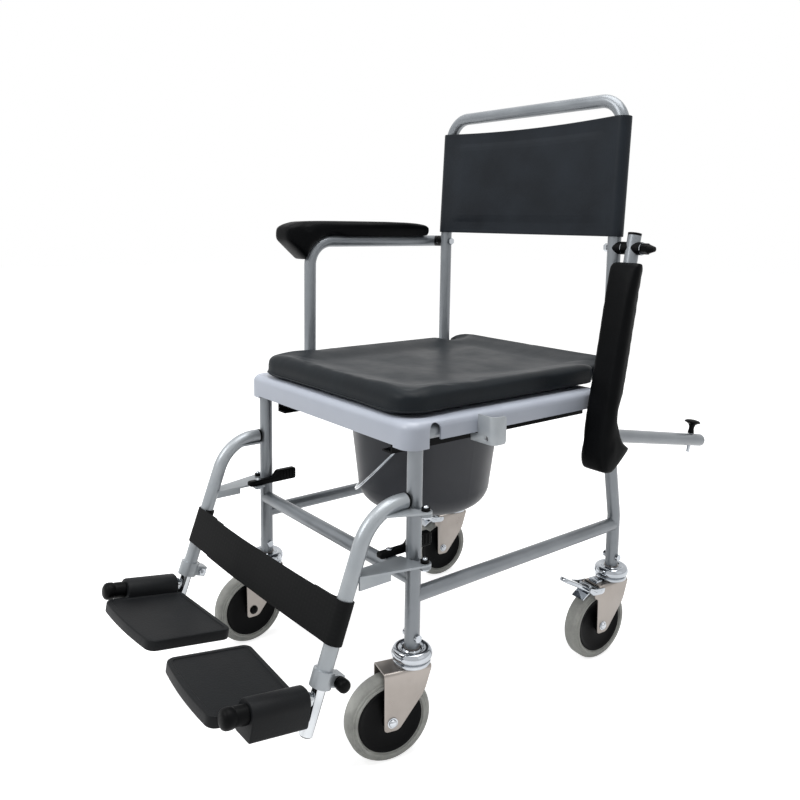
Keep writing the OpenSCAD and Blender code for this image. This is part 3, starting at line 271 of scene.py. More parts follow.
def pushOut(bm, faces, step):  # extrudes faces and gives the new ones
    grown = bmesh.ops.extrude_face_region(bm, geom=faces)["geom"]
    bmesh.ops.translate(bm, vec=step, verts=only(grown, bmesh.types.BMVert))
    return only(grown, bmesh.types.BMFace)


def raiseRow(bm, row, height):  # extrudes a row of edges straight up and gives the new row
    grown = bmesh.ops.extrude_edge_only(bm, edges=row)["geom"]
    for vert in only(grown, bmesh.types.BMVert):
        vert.co.z = height
    return [e for e in only(grown, bmesh.types.BMEdge)
            if all(abs(v.co.z - height) < nearly for v in e.verts)]


def addForm(bm, form, place):  # puts a form in its place and takes it into bm
    bmesh.ops.transform(form, matrix=place, verts=form.verts)
    mesh = bpy.data.meshes.new("form")
    form.to_mesh(mesh)
    form.free()
    bm.from_mesh(mesh)
    bpy.data.meshes.remove(mesh)
    return bm


def turned(profile, steps, place, bm=None):  # lathes (radius, height) points about Z
    form = bmesh.new()
    line = [form.verts.new((r, 0, h)) for r, h in profile]
    edges = [form.edges.new(pair) for pair in zip(line, line[1:])]
    bmesh.ops.spin(form, geom=line + edges, cent=(0, 0, 0), axis=(0, 0, 1), angle=2 * math.pi, steps=steps,
                   use_merge=True)
    bmesh.ops.remove_doubles(form, verts=form.verts, dist=0.001)
    return addForm(bm or bmesh.new(), form, place)


def shaft(bm, radius, length, place, sides=32, bevel=0.0):  # capped round or hex bar along Z from 0
    form = bmesh.new()
    bmesh.ops.create_cone(form, cap_ends=True, segments=sides, radius1=radius, radius2=radius, depth=length)
    bmesh.ops.translate(form, vec=(0, 0, length / 2), verts=form.verts)
    if bevel:
        softEdges(form, [e for e in form.edges if isLevel(e)], bevel, 3)
    addForm(bm, form, place)


def block(bm, low, high, place=Matrix(), bevel=0.0, steps=3):  # box between two corners
    form = bmesh.new()
    low, high = Vector(low), Vector(high)
    bmesh.ops.create_cube(form, size=1)
    bmesh.ops.scale(form, vec=high - low, verts=form.verts)
    bmesh.ops.translate(form, vec=(low + high) / 2, verts=form.verts)
    if bevel:
        softEdges(form, form.edges[:], bevel, steps)
    addForm(bm, form, place)


def slab(bm, outline, depth, place, rounds=(), bevel=0.0, steps=3):
    # a flat outline with chosen corners rounded, thickened along Z
    form = bmesh.new()
    onFace(form, outline)
    for chosen, size, arcs in rounds:
        roundOff(form, [v for v in form.verts if chosen(v.co)], size, arcs)
    pushOut(form, form.faces[:], (0, 0, depth))
    if bevel:
        softEdges(form, [e for e in form.edges if isLevel(e)], bevel, steps)
    addForm(bm, form, place)


def everyCorner(co):
    return True


def flip(bm):  # left piece to right piece
    bmesh.ops.scale(bm, vec=(-1, 1, 1), verts=bm.verts)
    bmesh.ops.reverse_faces(bm, faces=bm.faces)


def finishPiece(bm, name, finish, body, stands=(), sharp=35, placed=False, mirrored=False):
    if mirrored:
        flip(bm)
    if not placed:
        bmesh.ops.transform(bm, matrix=chairPlace, verts=bm.verts)
    bmesh.ops.recalc_face_normals(bm, faces=bm.faces)
    mesh = bpy.data.meshes.new(name)
    bm.to_mesh(mesh)
    bm.free()
    mesh.shade_smooth()
    mesh.set_sharp_from_angle(angle=math.radians(sharp))
    mesh.materials.append(finish)
    piece = bpy.data.objects.new(name, mesh)
    scene.collection.objects.link(piece)
    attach(piece, body)
    if stands:
        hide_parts(*stands)
    return piece


def addWall(piece, thick, offset):
    wall = piece.modifiers.new("wall", "SOLIDIFY")
    wall.thickness, wall.offset = thick * mm, offset


def addTrim(piece, width, steps, angle=30):  # takes the edge off folds sharper than the angle
    trim = piece.modifiers.new("trim", "BEVEL")
    trim.width, trim.segments, trim.limit_method = width * mm, steps, "ANGLE"
    trim.angle_limit = math.radians(angle)


def addFine(piece):
    fine = piece.modifiers.new("fine", "SUBSURF")
    fine.levels = fine.render_levels = 1


def settle(piece):  # bakes the modifiers of a piece into its mesh
    bpy.context.view_layer.update()
    baked = bpy.data.meshes.new_from_object(piece.evaluated_get(bpy.context.evaluated_depsgraph_get()))
    piece.modifiers.clear()
    piece.data = baked
    return baked


def bite(piece, bm):  # takes the form bm, in millimetres, out of a piece when it is settled
    bmesh.ops.transform(bm, matrix=chairPlace, verts=bm.verts)
    bmesh.ops.recalc_face_normals(bm, faces=bm.faces)
    mesh = bpy.data.meshes.new("cutter")
    bm.to_mesh(mesh)
    bm.free()
    cutter = bpy.data.objects.new("cutter", mesh)
    scene.collection.objects.link(cutter)
    cut = piece.modifiers.new("cut", "BOOLEAN")
    cut.operation, cut.object, cut.solver = "DIFFERENCE", cutter, "EXACT"
    return cutter


# camera
lens = dict(place=(1.0237, -0.8656, 0.7535), azimuth=51.479, height=7.319, roll=0.814, focal=35.864,
            sensor=36, shiftX=0.00325, shiftY=-0.09325)


def standCamera():
    az, el, roll = (math.radians(lens[k]) for k in ("azimuth", "height", "roll"))
    back = Vector((math.cos(el) * math.sin(az), -math.cos(el) * math.cos(az), math.sin(el)))
    across = Vector((math.cos(az), math.sin(az), 0))
    up = back.cross(across)
    right = math.cos(roll) * across + math.sin(roll) * up
    above = math.cos(roll) * up - math.sin(roll) * across
    data = bpy.data.cameras.new("camera")
    data.sensor_width = lens["sensor"]
    data.lens = lens["focal"]
    data.shift_x, data.shift_y = lens["shiftX"], lens["shiftY"]
    camera = bpy.data.objects.new("camera", data)
    scene.collection.objects.link(camera)
    spin = Matrix((right, above, back)).transposed().to_4x4()
    camera.matrix_world = Matrix.Translation(lens["place"]) @ spin
    scene.camera = camera


standCamera()
print("camera stands")

# castors: local +X is the way the wheel trails, height from the floor
castor = dict(trail=37, wheelR=62.5, headings=dict(fl=-104.8, fr=-92.3, rl=-95.7, rr=-97.5))


def castorPlace(key):
    x = chair["halfW"] if key[1] == "l" else -chair["halfW"]
    y = chair["frontLeg"] if key[0] == "f" else chair["rearLeg"]
    return Matrix.Translation((x, y, 0)) @ turn(z=castor["headings"][key])


def axlePlace(key):
    return castorPlace(key) @ Matrix.Translation((castor["trail"], 0, castor["wheelR"]))


# tyre with two stepped rings on each side and a flat tread: (radius, half width) from the hub out
tyre = dict(crown=62.6, steps=96,
            half=[(48.1, 11.6), (49.4, 12.4), (50.2, 14.8), (52.8, 15), (53.6, 13.2), (54.2, 13),
                  (56.2, 13.1), (56.8, 12.2), (57.4, 11.6), (59.6, 11.4), (61.4, 10), (62.3, 8.2),
                  (62.5, 7)])
# dished hub disc with a boss and a rim lip
hub = dict(steps=72, half=[(4.2, 16.8), (10.5, 16.8), (12, 15.8), (12.6, 10.6), (16, 9.4), (38, 9.4),
                           (43, 11.2), (45.6, 12.4), (48, 12.4)])


def makeWheel(key):
    place, body = axlePlace(key) @ turn(x=90), "wheel_" + key
    section = [(r, -h) for r, h in tyre["half"]] + [(tyre["crown"], 0)] + tyre["half"][::-1]
    finishPiece(turned(section + section[:1], tyre["steps"], place), "tyre" + key.upper(), treadGrey, body,
                ["tyre_" + key])
    section = [(r, -h) for r, h in hub["half"]] + hub["half"][::-1]
    finishPiece(turned(section + section[:1], hub["steps"], place), "hub" + key.upper(), blackPlastic, body,
                ["hub_" + key])


# swivel head: a lower ring on the fork, a groove, then a wide rolled ring dished round the leg
race = dict(z=136, bore=6.1, steps=64,
            lower=[(25.4, 0), (26.6, 0.7), (27.2, 2.2), (27.2, 4.2), (26.6, 5.6), (25.4, 6.3), (25, 6.9)],
            upper=[(25.5, 7.5), (27.4, 8.3), (28.8, 10), (29.4, 12.4), (29.3, 15.2), (28.4, 18.2),
                   (26.6, 20.8), (24.2, 22.4), (21.4, 22.8), (18.8, 22)],
            dish=[(16.8, 20.2), (15.4, 18.9), (14.2, 18.6), (13, 19.4), (12.2, 20.6), (11.2, 21)])


def makeRace(key):
    outer = race["lower"] + race["upper"] + race["dish"]
    bore = [(race["bore"], outer[-1][1]), (race["bore"], 0)]
    place = castorPlace(key) @ Matrix.Translation((0, 0, race["z"]))
    finishPiece(turned(bore[1:] + outer + bore, race["steps"], place), "race" + key.upper(), chrome,
                "castor_" + key, ["race_" + key])


# fork: one strip folded over the wheel, narrowed towards the axle, with ears for the brake at the rear
fork = dict(out=20, top=136, back=-23, plainNose=[(50, 136)],
            brakeNose=[(46, 136), (50, 129), (58, 125), (58.5, 117), (51, 112)],
            foot=[(49, 49.5), (27, 49.5)], waist=(-12, 99), footR=5.5, waistR=9, foldR=5, sheet=2.5,
            trim=0.5)


def makeFork(key):
    bm = bmesh.new()
    nose = fork["brakeNose"] if key[0] == "r" else fork["plainNose"]
    side = onFace(bm, [(fork["back"], fork["top"])] + nose + fork["foot"] + [fork["waist"]])
    waistZ = fork["waist"][1]
    roundOff(bm, [v for v in side.verts if v.co.y < waistZ - nearly], fork["footR"], 8)
    roundOff(bm, [v for v in bm.verts if abs(v.co.y - waistZ) < nearly], fork["waistR"], 6)
    stand = Matrix.Translation((0, -fork["out"], 0)) @ turn(x=90)
    bmesh.ops.transform(bm, matrix=stand, verts=bm.verts)
    twin = bmesh.ops.duplicate(bm, geom=bm.verts[:] + bm.edges[:] + bm.faces[:])["geom"]
    bmesh.ops.translate(bm, vec=(0, 2 * fork["out"], 0), verts=only(twin, bmesh.types.BMVert))

    def onTop():
        return [e for e in bm.edges if min(v.co.z for v in e.verts) > fork["top"] - nearly]

    bmesh.ops.bridge_loops(bm, edges=onTop())
    bmesh.ops.recalc_face_normals(bm, faces=bm.faces)
    folds = [e for e in onTop() if abs(e.verts[0].co.y - e.verts[1].co.y) < nearly]
    softEdges(bm, folds, fork["foldR"], 5)
    bmesh.ops.transform(bm, matrix=castorPlace(key), verts=bm.verts)
    piece = finishPiece(bm, "fork" + key.upper(), zinc, "castor_" + key, ["fork_" + key])
    addWall(piece, fork["sheet"], -1)
    addTrim(piece, fork["trim"], 2)
    settle(piece)


# axle with a flat washer and a domed head on both sides
axle = dict(r=4, length=48, edge=0.6, capped="fr",
            head=[(0, 0), (7.4, 0), (7.6, 1.2), (5.9, 1.3), (5.7, 3), (4.6, 4.4), (2.4, 5.2), (0, 5.4)])


def makeAxle(key):
    bm = bmesh.new()
    place = axlePlace(key)
    through = place @ Matrix.Translation((0, axle["length"] / 2, 0)) @ turn(x=90)
    shaft(bm, axle["r"], axle["length"], through, 24, axle["edge"])
    for end in (-1, 1):
        outside = place @ Matrix.Translation((0, end * fork["out"], 0)) @ turn(x=-90 * end)
        turned(axle["head"], 32, outside, bm)
    dark = key == axle["capped"]  # this castor shows its capped end
    finishPiece(bm, "axle" + key.upper(), blackPlastic if dark else chrome, "castor_" + key)


for key in ("fl", "fr", "rl", "rr"):
    makeWheel(key)
    makeRace(key)
    makeFork(key)
    makeAxle(key)

# brake pedal: boxes are pairs of corners, the plate, rib and tongue lie on its slope
pedal = dict(pinX=46, pinZ=129.5, pinR=2, pinL=46, pinEdge=0.5, rootX=56, rootZ=127, rise=28, sheet=2.5,
             cheek=[(38, 133), (58, 134.5), (73, 139), (75, 133), (66, 125.5), (44, 123.5), (39, 126)],
             cheekIn=20.3, cheekR=2.5, plate=((0, -22.8, 0.4), (19, 22.8, 2.5)), plateEdge=0.7,
             rib=((5, -13, 2), (12, 13, 6.5)), ribEdge=1.8,
             springBox=((31, -10, 134.2), (45, 10, 141)), boxEdge=1.6,
             tongue=[(12, 15), (26, 9.5), (71, 9.5)], toeR=8.5, flange=4.5, flangeEdge=2,
             shoeR=68.2, shoeT=2, shoeW=26, shoeArc=(74, 68, 62, 56, 51))


def makePedal(key):
    bm = bmesh.new()
    slope = Matrix.Translation((pedal["rootX"], 0, pedal["rootZ"])) @ turn(y=-pedal["rise"])
    for y in (-pedal["cheekIn"] - pedal["sheet"], pedal["cheekIn"]):  # cheeks on the pivot
        slab(bm, pedal["cheek"], pedal["sheet"], alongY(y), [(everyCorner, pedal["cheekR"], 4)])
    # pressed cross plate between the cheeks, with a raised rib over it, and the spring box over the fork
    block(bm, *pedal["plate"], slope, pedal["plateEdge"])
    block(bm, *pedal["rib"], slope, pedal["ribEdge"], 4)
    block(bm, *pedal["springBox"], bevel=pedal["boxEdge"], steps=4)
    # narrow tongue for the toe, its edges folded down
    half = pedal["tongue"]
    toe = half[-1][0] - nearly
    slab(bm, [(x, -y) for x, y in half] + half[::-1], pedal["flange"] + pedal["sheet"],
         slope @ Matrix.Translation((0, 0, -pedal["flange"])),
         [(lambda co: co.x > toe, pedal["toeR"], 8)], pedal["flangeEdge"], 4)
    # shoe: a plate hooked down over the front of the tread, clear of it until the pedal is pressed
    arc = [math.radians(a) for a in pedal["shoeArc"]]
    bend = [(pedal["shoeR"], a) for a in arc] + [(pedal["shoeR"] + pedal["shoeT"], a) for a in arc[::-1]]
    slab(bm, [(castor["trail"] + r * math.cos(a), castor["wheelR"] + r * math.sin(a)) for r, a in bend],
         pedal["shoeW"], alongY(-pedal["shoeW"] / 2))
    pin = Matrix.Translation((pedal["pinX"], pedal["pinL"] / 2, pedal["pinZ"])) @ turn(x=90)
    shaft(bm, pedal["pinR"], pedal["pinL"], pin, 20, pedal["pinEdge"])
    bmesh.ops.transform(bm, matrix=castorPlace(key), verts=bm.verts)
    finishPiece(bm, "brakePedal" + key.upper(), chrome, "brake_" + key, ["brake_pedal_" + key])


makePedal("rl")
makePedal("rr")
print("castors made")

# commode seat: a moulded tray with boots over the front corners
seat = dict(halfW=224, front=-226, rear=185, top=486, wall=3.5, corner=22, rearCorner=12, lip=13,
            skirt=38, side=28, frontRise=3, rearCut=18, rearSkirt=6.7, boot=36,
            hole=100, holeY=-8, holeDeep=40, archW=21, archZ=14, archDeep=24, archOut=7,
            over=10, past=300, trim=0.9, trimAngle=40, sharp=38)


def makeSeat():
    bm = bmesh.new()
    half, top, low = seat["halfW"], seat["top"], seat["top"] - seat["skirt"]
    tray = onFace(bm, [(-half, seat["front"]), (half, seat["front"]), (half, seat["rear"]),
                       (-half, seat["rear"])], low)
    roundOff(bm, [v for v in tray.verts if v.co.y < 0], seat["corner"], 8)
    roundOff(bm, [v for v in bm.verts if v.co.y > 0], seat["rearCorner"], 5)
    pushOut(bm, bm.faces[:], (0, 0, seat["skirt"]))
    bmesh.ops.delete(bm, geom=[f for f in bm.faces if all(v.co.z < low + nearly for v in f.verts)],
                     context="FACES_ONLY")
    softEdges(bm, [e for e in bm.edges if all(v.co.z > top - nearly for v in e.verts)], seat["lip"], 6)
    piece = finishPiece(bm, "commodeSeat", seatPlastic, "frame", ["commode_seat"])
    addWall(piece, seat["wall"], -1)
    # what is cut out of the tray, in two cutters so that neither meets itself
    edges, holes = bmesh.new(), bmesh.new()
    back, floor, past = seat["front"] + seat["boot"], low - seat["over"], seat["past"]
    block(edges, (-past, back, floor), (past, past, top - seat["side"]))
    block(edges, (seat["boot"] - half, -past, floor),
          (half - seat["boot"], back - seat["over"] / 2, low + seat["frontRise"]))
    block(holes, (-past, seat["rear"] - seat["rearCut"], floor), (past, past, top - seat["rearSkirt"]))
    r = seat["archW"] / 2
    arch = [(back + r - r * math.cos(math.radians(a)), top - seat["archZ"] + r * math.sin(math.radians(a)))
            for a in range(0, 181, 10)]
    for x in (-half - seat["archOut"], half + seat["archOut"] - seat["archDeep"]):
        slab(holes, arch + [(back + 2 * r, floor), (back, floor)], seat["archDeep"], alongX(x))
    shaft(holes, seat["hole"], seat["holeDeep"],
          Matrix.Translation((0, seat["holeY"], top - seat["holeDeep"] / 2)), 96)
    cutters = [bite(piece, edges), bite(piece, holes)]
    addTrim(piece, seat["trim"], 3, seat["trimAngle"])
    settle(piece)
    piece.data.shade_smooth()
    piece.data.set_sharp_from_angle(angle=math.radians(seat["sharp"]))
    for cutter in cutters:
        bpy.data.objects.remove(cutter)


makeSeat()
print("commode seat made")

# soft pieces, swelled by cloth pressure from a slightly smaller copy of their solids
cover = dict(quality=5, mass=0.3, stiff=12, bend=2, steps=20, ease=6)


def swell(name, node, finish, body, soft):
    bm = bmesh.new()
    bm.from_mesh(nodes[node].data)
    bmesh.ops.remove_doubles(bm, verts=bm.verts, dist=nearly * mm)
    piece = finishPiece(bm, name, finish, body, [node], 180, placed=True)
    skin = piece.modifiers.new("skin", "REMESH")
    skin.mode, skin.voxel_size = "VOXEL", soft["voxel"] * mm
    ease = piece.modifiers.new("ease", "SMOOTH")
    ease.factor, ease.iterations = 0.5, cover["ease"]
    slim = piece.modifiers.new("slim", "DISPLACE")
    slim.strength, slim.mid_level = -soft["shrink"] * mm, 0
    mesh = settle(piece)
    start = [v.co.copy() for v in mesh.vertices]
    cloth = piece.modifiers.new("cloth", "CLOTH")
    cloth.settings.quality = cover["quality"]
    cloth.settings.mass = cover["mass"]
    cloth.settings.tension_stiffness = cover["stiff"]
    cloth.settings.compression_stiffness = cover["stiff"]
    cloth.settings.bending_stiffness = cover["bend"]
    cloth.settings.use_pressure = True
    cloth.settings.uniform_pressure_force = soft["pressure"]
    cloth.settings.effector_weights.gravity = 0
    cloth.collision_settings.use_collision = False
    for step in range(1, cover["steps"] + 1):
        scene.frame_set(step)
    mesh = settle(piece)
    scene.frame_set(1)
    for vert, old in zip(mesh.vertices, start):  # no point moves further than its reach
        move = vert.co - old
        if move.length > soft["reach"] * mm:
            vert.co = old + move.normalized() * soft["reach"] * mm
    addFine(piece)
    settle(piece)
    piece.data.shade_smooth()
    return piece


pillow = dict(voxel=6, shrink=3, pressure=4, reach=6, fill=0.7, halfW=212, front=-224, rear=285, corner=42,
              roll=4.5, rollAt=20, rollWide=12, dish=6, dishFrom=34, dishTo=90, liftFrom=0.35, liftTo=0.8,
              foot=16, footIn=2.5, footOut=14, footFrom=20, footBlend=10, seam=11, cord=1.3, cordEase=6)


def shapeCushion(piece):  # gives the lowest point of the cushion
    toChair = chairPlace.inverted()
    half, front, rear, c = (pillow[k] for k in ("halfW", "front", "rear", "corner"))
    spots = [toChair @ v.co for v in piece.data.vertices]
    low, high = min(q.z for q in spots), max(q.z for q in spots)
    for vert, q in zip(piece.data.vertices, spots):
        core = Vector((min(max(q.x, c - half), half - c), min(max(q.y, front + c), rear - c), q.z))
        reach = q - core
        inside = c - reach.length if reach.length else min(half - abs(q.x), q.y - front, rear - q.y)
        share = (q.z - low) / (high - low)
        # a stuffed roll round the border and a dished middle
        roll = pillow["roll"] * math.exp(-((inside - pillow["rollAt"]) / pillow["rollWide"]) ** 2)
        sink = pillow["dish"] * ramp(inside, pillow["dishFrom"], pillow["dishTo"])
        lift = ramp(share, pillow["liftFrom"], pillow["liftTo"]) * (roll - sink)
        # the lower edge stands out to the seat board
        foot = max(0.0, 1 - (q.z - low) / pillow["foot"])
        push = foot * max(0.0, min(inside, pillow["footOut"]) - pillow["footIn"]) \
            * ramp(pillow["footFrom"] - inside, 0, pillow["footBlend"])
        move = Vector((0, 0, lift)) + (reach.normalized() * push if reach.length else Vector())
        vert.co = chairPlace @ (q + move)
    piece.data.update()
    return low


def seamLine(piece, height):  # the ring of points where a level plane meets the piece
    bm = bmesh.new()
    bm.from_mesh(piece.data)
    bmesh.ops.bisect_plane(bm, geom=bm.verts[:] + bm.edges[:] + bm.faces[:], plane_co=(0, 0, height),
                           plane_no=(0, 0, 1), clear_inner=True, clear_outer=True)
    start = max(bm.verts, key=lambda v: v.co.x)
    loop, step = [start], start.link_edges[0].other_vert(start)
    while step is not start:
        last = loop[-1]
        loop.append(step)
        step = next(e.other_vert(step) for e in step.link_edges if e.other_vert(step) is not last)
    line = [v.co.copy() for v in loop]
    bm.free()
    for k in range(pillow["cordEase"]):
        line = [(line[i - 1] + line[i] * 2 + line[(i + 1) % len(line)]) / 4 for i in range(len(line))]
    return line


def makeCushion():
    piece = swell("seatCushion", "seat_cushion", cushionVinyl, "cushion", pillow)
    low = shapeCushion(piece)
    # piping sewn into the side just above the seat
    line = seamLine(piece, (low + pillow["seam"]) * mm)
    data = bpy.data.curves.new("piping", "CURVE")
    data.dimensions = "3D"
    data.bevel_depth, data.bevel_resolution = pillow["cord"] * mm, 3
    spline = data.splines.new("POLY")
    spline.use_cyclic_u = True
    spline.points.add(len(line) - 1)
    for point, co in zip(spline.points, line):
        point.co = (*co, 1)
    holder = bpy.data.objects.new("piping", data)
    scene.collection.objects.link(holder)
    bpy.context.view_layer.update()
    tube = bpy.data.meshes.new_from_object(holder.evaluated_get(bpy.context.evaluated_depsgraph_get()))
    cord = bmesh.new()
    cord.from_mesh(tube)
    bpy.data.objects.remove(holder)
    bpy.data.curves.remove(data)
    bpy.data.meshes.remove(tube)
    finishPiece(cord, "cushionPiping", cushionVinyl, "cushion", sharp=180,
                placed=True)


makeCushion()
print("cushion made")

# arms turn about a bolt through each upright
arm = dict(x=244, pivotZ=718, drop=79.3)
pad = dict(voxel=4, shrink=1.0, pressure=3, reach=2, fill=0.9, skirt=6, inner=235, outer=253, blend=3,
           flat=(232, 262), under=20, underBlend=9)


def armPlace(sideName):  # the left arm is dropped, the right one is up
    drop = arm["drop"] if sideName == "left" else 0
    return Matrix.Translation((0, chair["upright"], arm["pivotZ"])) @ turn(x=drop)


def makePad(sideName):
    piece = swell("armPad" + sideName.title(), "arm_pad_" + sideName, padSkin, sideName + "_arm", pad)
    place = chairPlace @ armPlace(sideName)
    toArm = place.inverted()
    for vert in piece.data.vertices:  # the underside comes down a little on both sides of the tube
        q = toArm @ vert.co
        beside = max(ramp(pad["inner"] - abs(q.x), 0, pad["blend"]),
                     ramp(abs(q.x) - pad["outer"], 0, pad["blend"]))
        under = ramp(pad["under"] - q.z, 0, pad["underBlend"])
        q.z -= pad["skirt"] * beside * under * (1 - ramp(-q.y, *pad["flat"]))
        vert.co = place @ q
    piece.data.update()


makePad("left")
makePad("right")
print("arm pads made")

# back sling: a sleeve on each upright and a padded panel between them
sling = dict(z=732, lean=2.6, base=4, height=196, sleeveR=14.2, sleeveEdge=10, panel=7, front=-13.55, bow=6,
             panelShare=0.8, across=80, rows=28, rim=1.2, rimAngle=1.2, topSag=5, insetX=186, insetZ=24,
             insetSide=30, insetEnd=6, raised=1.8, hem=9, hemRaised=0.7, fill=0.3, sharp=60)


def makeSling():
    half, r, tall, panelShare = chair["halfW"], sling["sleeveR"], sling["height"], sling["panelShare"]

    def bow(x):  # front of the panel, hollow towards the sitter
        return sling["front"] + sling["bow"] * (1 - (x / half) ** 2)

    bm = bmesh.new()
    bmesh.ops.create_grid(bm, x_segments=sling["across"], y_segments=1, size=1)
    for v in bm.verts:  # one strip of quads: the panel, then half a turn round each upright
        side = 1 if v.co.x > 0 else -1
        share = abs(v.co.x)
        if share < panelShare:
            x = (half - r) * share / panelShare
        else:
            x = half - r * math.cos(math.pi * (share - panelShare) / (1 - panelShare))
        sleeve = math.sqrt(max(0, r * r - (x - half) ** 2))
        if v.co.y < 0:
            y = min(bow(x), -sleeve) if x < half else -sleeve
        else:
            y = max(bow(x) + sling["panel"], sleeve) if x < half else sleeve
        v.co = (side * x, y, 0)
    bmesh.ops.remove_doubles(bm, verts=bm.verts, dist=nearly)
    level = bm.faces[:]
    for k in range(sling["rows"]):
        level = pushOut(bm, level, (0, 0, tall / sling["rows"]))
    rims = [e for e in bm.edges if len(e.link_faces) == 2 and e.calc_face_angle() > sling["rimAngle"]
            and isLevel(e)]
    softEdges(bm, rims, sling["rim"], 2)
    for v in bm.verts:  # foam in the panel, hems at both ends and a slack top
        x, y, z = v.co
        foam = rise(sling["insetX"] - abs(x), sling["insetSide"]) \
            * rise(z - sling["insetZ"], sling["insetEnd"]) \
            * rise(tall - sling["insetZ"] - z, sling["insetEnd"])
        outward = -1 if y < bow(x) + sling["panel"] / 2 else 1
        if abs(x) < half - sling["sleeveEdge"]:
            hem = max(0, 1 - min(z, tall - z) / sling["hem"])
            v.co.y += outward * (sling["raised"] * foam + sling["hemRaised"] * hem)
        v.co.z -= sling["topSag"] * max(0.0, 1 - (x / half) ** 2) * (z / tall) ** 3
    lean = Matrix.Translation((0, chair["upright"], sling["z"])) @ turn(x=-sling["lean"]) \
        @ Matrix.Translation((0, 0, sling["base"]))
    bmesh.ops.transform(bm, matrix=lean, verts=bm.verts)
    piece = finishPiece(bm, "backSling", slingVinyl, "frame", ["back_sling"],
                        sling["sharp"])
    addFine(piece)
    settle(piece)
    piece.data.shade_smooth()


makeSling()
print("sling made")

# calf strap: webbing looped round the sloped tube of each hanger
hangerEnd = dict(y=-356.94, z=155, lean=20)
slopePlace = Matrix.Translation((chair["halfW"], hangerEnd["y"], hangerEnd["z"])) \
    @ turn(x=-hangerEnd["lean"])
strap = dict(width=58, low=56, thick=2.0, loopR=12.5, loopArc=(-80, 216, 10), tail=46, tailFrom=12,
             tailIn=3, reach=dict(left=345, right=86), lap=dict(left=2.6, right=0), lapFrom=200,
             lapBlend=60, free=14, span=400, sag=4, cup=2.5, bandSteps=40, tailSteps=6, rows=12, sharp=60)


def makeStrap(sideName):
    r, reach, wide = strap["loopR"], strap["reach"][sideName], strap["width"]
    band = [(-reach + reach * k / strap["bandSteps"], -r) for k in range(strap["bandSteps"] + 1)]
    loop = [(r * math.cos(math.radians(a)), r * math.sin(math.radians(a)))
            for a in range(*strap["loopArc"])]
    tail = [(-strap["tailFrom"] - strap["tail"] * k / strap["tailSteps"], strap["tailIn"] - r)
            for k in range(1, strap["tailSteps"] + 1)]
    path = band + loop + tail
    bm = bmesh.new()
    line = [bm.verts.new((x, y, 0)) for x, y in path]
    row = [bm.edges.new(pair) for pair in zip(line, line[1:])]
    for k in range(strap["rows"]):
        row = raiseRow(bm, row, wide * (k + 1) / strap["rows"])
    for v in bm.verts:  # the free run sags, cups a little and laps over the other band
        out = -v.co.x - strap["free"]
        if out > 0:
            curve = math.sin(math.pi * min(1, out / (strap["span"] - strap["free"])))
            cup = strap["cup"] * (1 - 2 * v.co.z / wide) ** 2
            lap = strap["lap"][sideName] * rise(-v.co.x - strap["lapFrom"], strap["lapBlend"])
            v.co.z -= strap["sag"] * curve
            v.co.y += cup * curve - lap
    bmesh.ops.transform(bm, matrix=slopePlace @ Matrix.Translation((0, 0, strap["low"])), verts=bm.verts)
    piece = finishPiece(bm, "calfStrap" + sideName.title(), webbing, sideName + "_hanger",
                        ["calf_strap_" + sideName], strap["sharp"], mirrored=sideName == "right")
    addWall(piece, strap["thick"], 0)
    settle(piece)
    piece.data.shade_smooth()
    piece.data.set_sharp_from_angle(angle=math.radians(strap["sharp"]))


makeStrap("left")
makeStrap("right")
print("straps made")

# footplates, hung on the rod of each extension: places from the root of the rod
rod = dict(y=-362.03, z=141, tilt=9.5)
rodPlace = Matrix.Translation((chair["halfW"], rod["y"], rod["z"])) @ turn(x=-rod["tilt"])
foot = dict(inner=-182, outer=-17, front=-140, sweep=10, bow=5, noseSteps=10, rear=-13, back=13, low=-21.5,
            top=-5.5, corner=13, edge=2.2, rim=5, sunk=1.2)
housing = dict(inner=-22, outer=18, low=-30, top=17, rear=-19, front=-102.9, crownR=17.5, footR=5, edge=2)


def makeFootplate(sideName):
    bm = bmesh.new()
    inner, outer, wide = foot["inner"], foot["outer"], foot["outer"] - foot["inner"]

    def front(t):  # front edge, swept back towards the middle of the chair and bowed forward
        return foot["front"] + foot["sweep"] * (1 - t) - foot["bow"] * 4 * t * (1 - t)

    shares = [k / foot["noseSteps"] for k in range(foot["noseSteps"] + 1)]
    nose = [(inner + wide * t, front(t)) for t in shares]
    sole = onFace(bm, nose + [(outer, foot["rear"]), (inner, foot["rear"] + foot["back"])], foot["low"])
    ends = [v for v in sole.verts if v.co.x < inner + nearly or v.co.x > outer - nearly]
    roundOff(bm, ends, foot["corner"], 6)
    pushOut(bm, bm.faces[:], (0, 0, foot["top"] - foot["low"]))
    softEdges(bm, [e for e in bm.edges if isLevel(e)], foot["edge"], 4)
    # a flat rim round a tread that lies a little lower
    upper = [f for f in bm.faces if f.calc_center_median().z > foot["top"] - nearly]
    tread = [max(upper, key=lambda f: f.calc_area())]
    bmesh.ops.inset_region(bm, faces=tread, thickness=foot["rim"], depth=0)
    bmesh.ops.inset_region(bm, faces=tread, thickness=foot["sunk"], depth=-foot["sunk"])
    # hinge housing, round over the rod
    slab(bm, [(housing["inner"], housing["low"]), (housing["outer"], housing["low"]),
              (housing["outer"], housing["top"]), (housing["inner"], housing["top"])],
         housing["rear"] - housing["front"], Matrix.Translation((0, housing["rear"], 0)) @ turn(x=90),
         [(lambda co: co.y > 0, housing["crownR"], 8),
          (lambda co: co.y < housing["low"] + nearly, housing["footR"], 4)], housing["edge"], 3)
    bmesh.ops.transform(bm, matrix=rodPlace, verts=bm.verts)
    finishPiece(bm, "footplate" + sideName.title(), footPlastic, sideName + "_footplate",
                ["footplate_" + sideName], mirrored=sideName == "right")


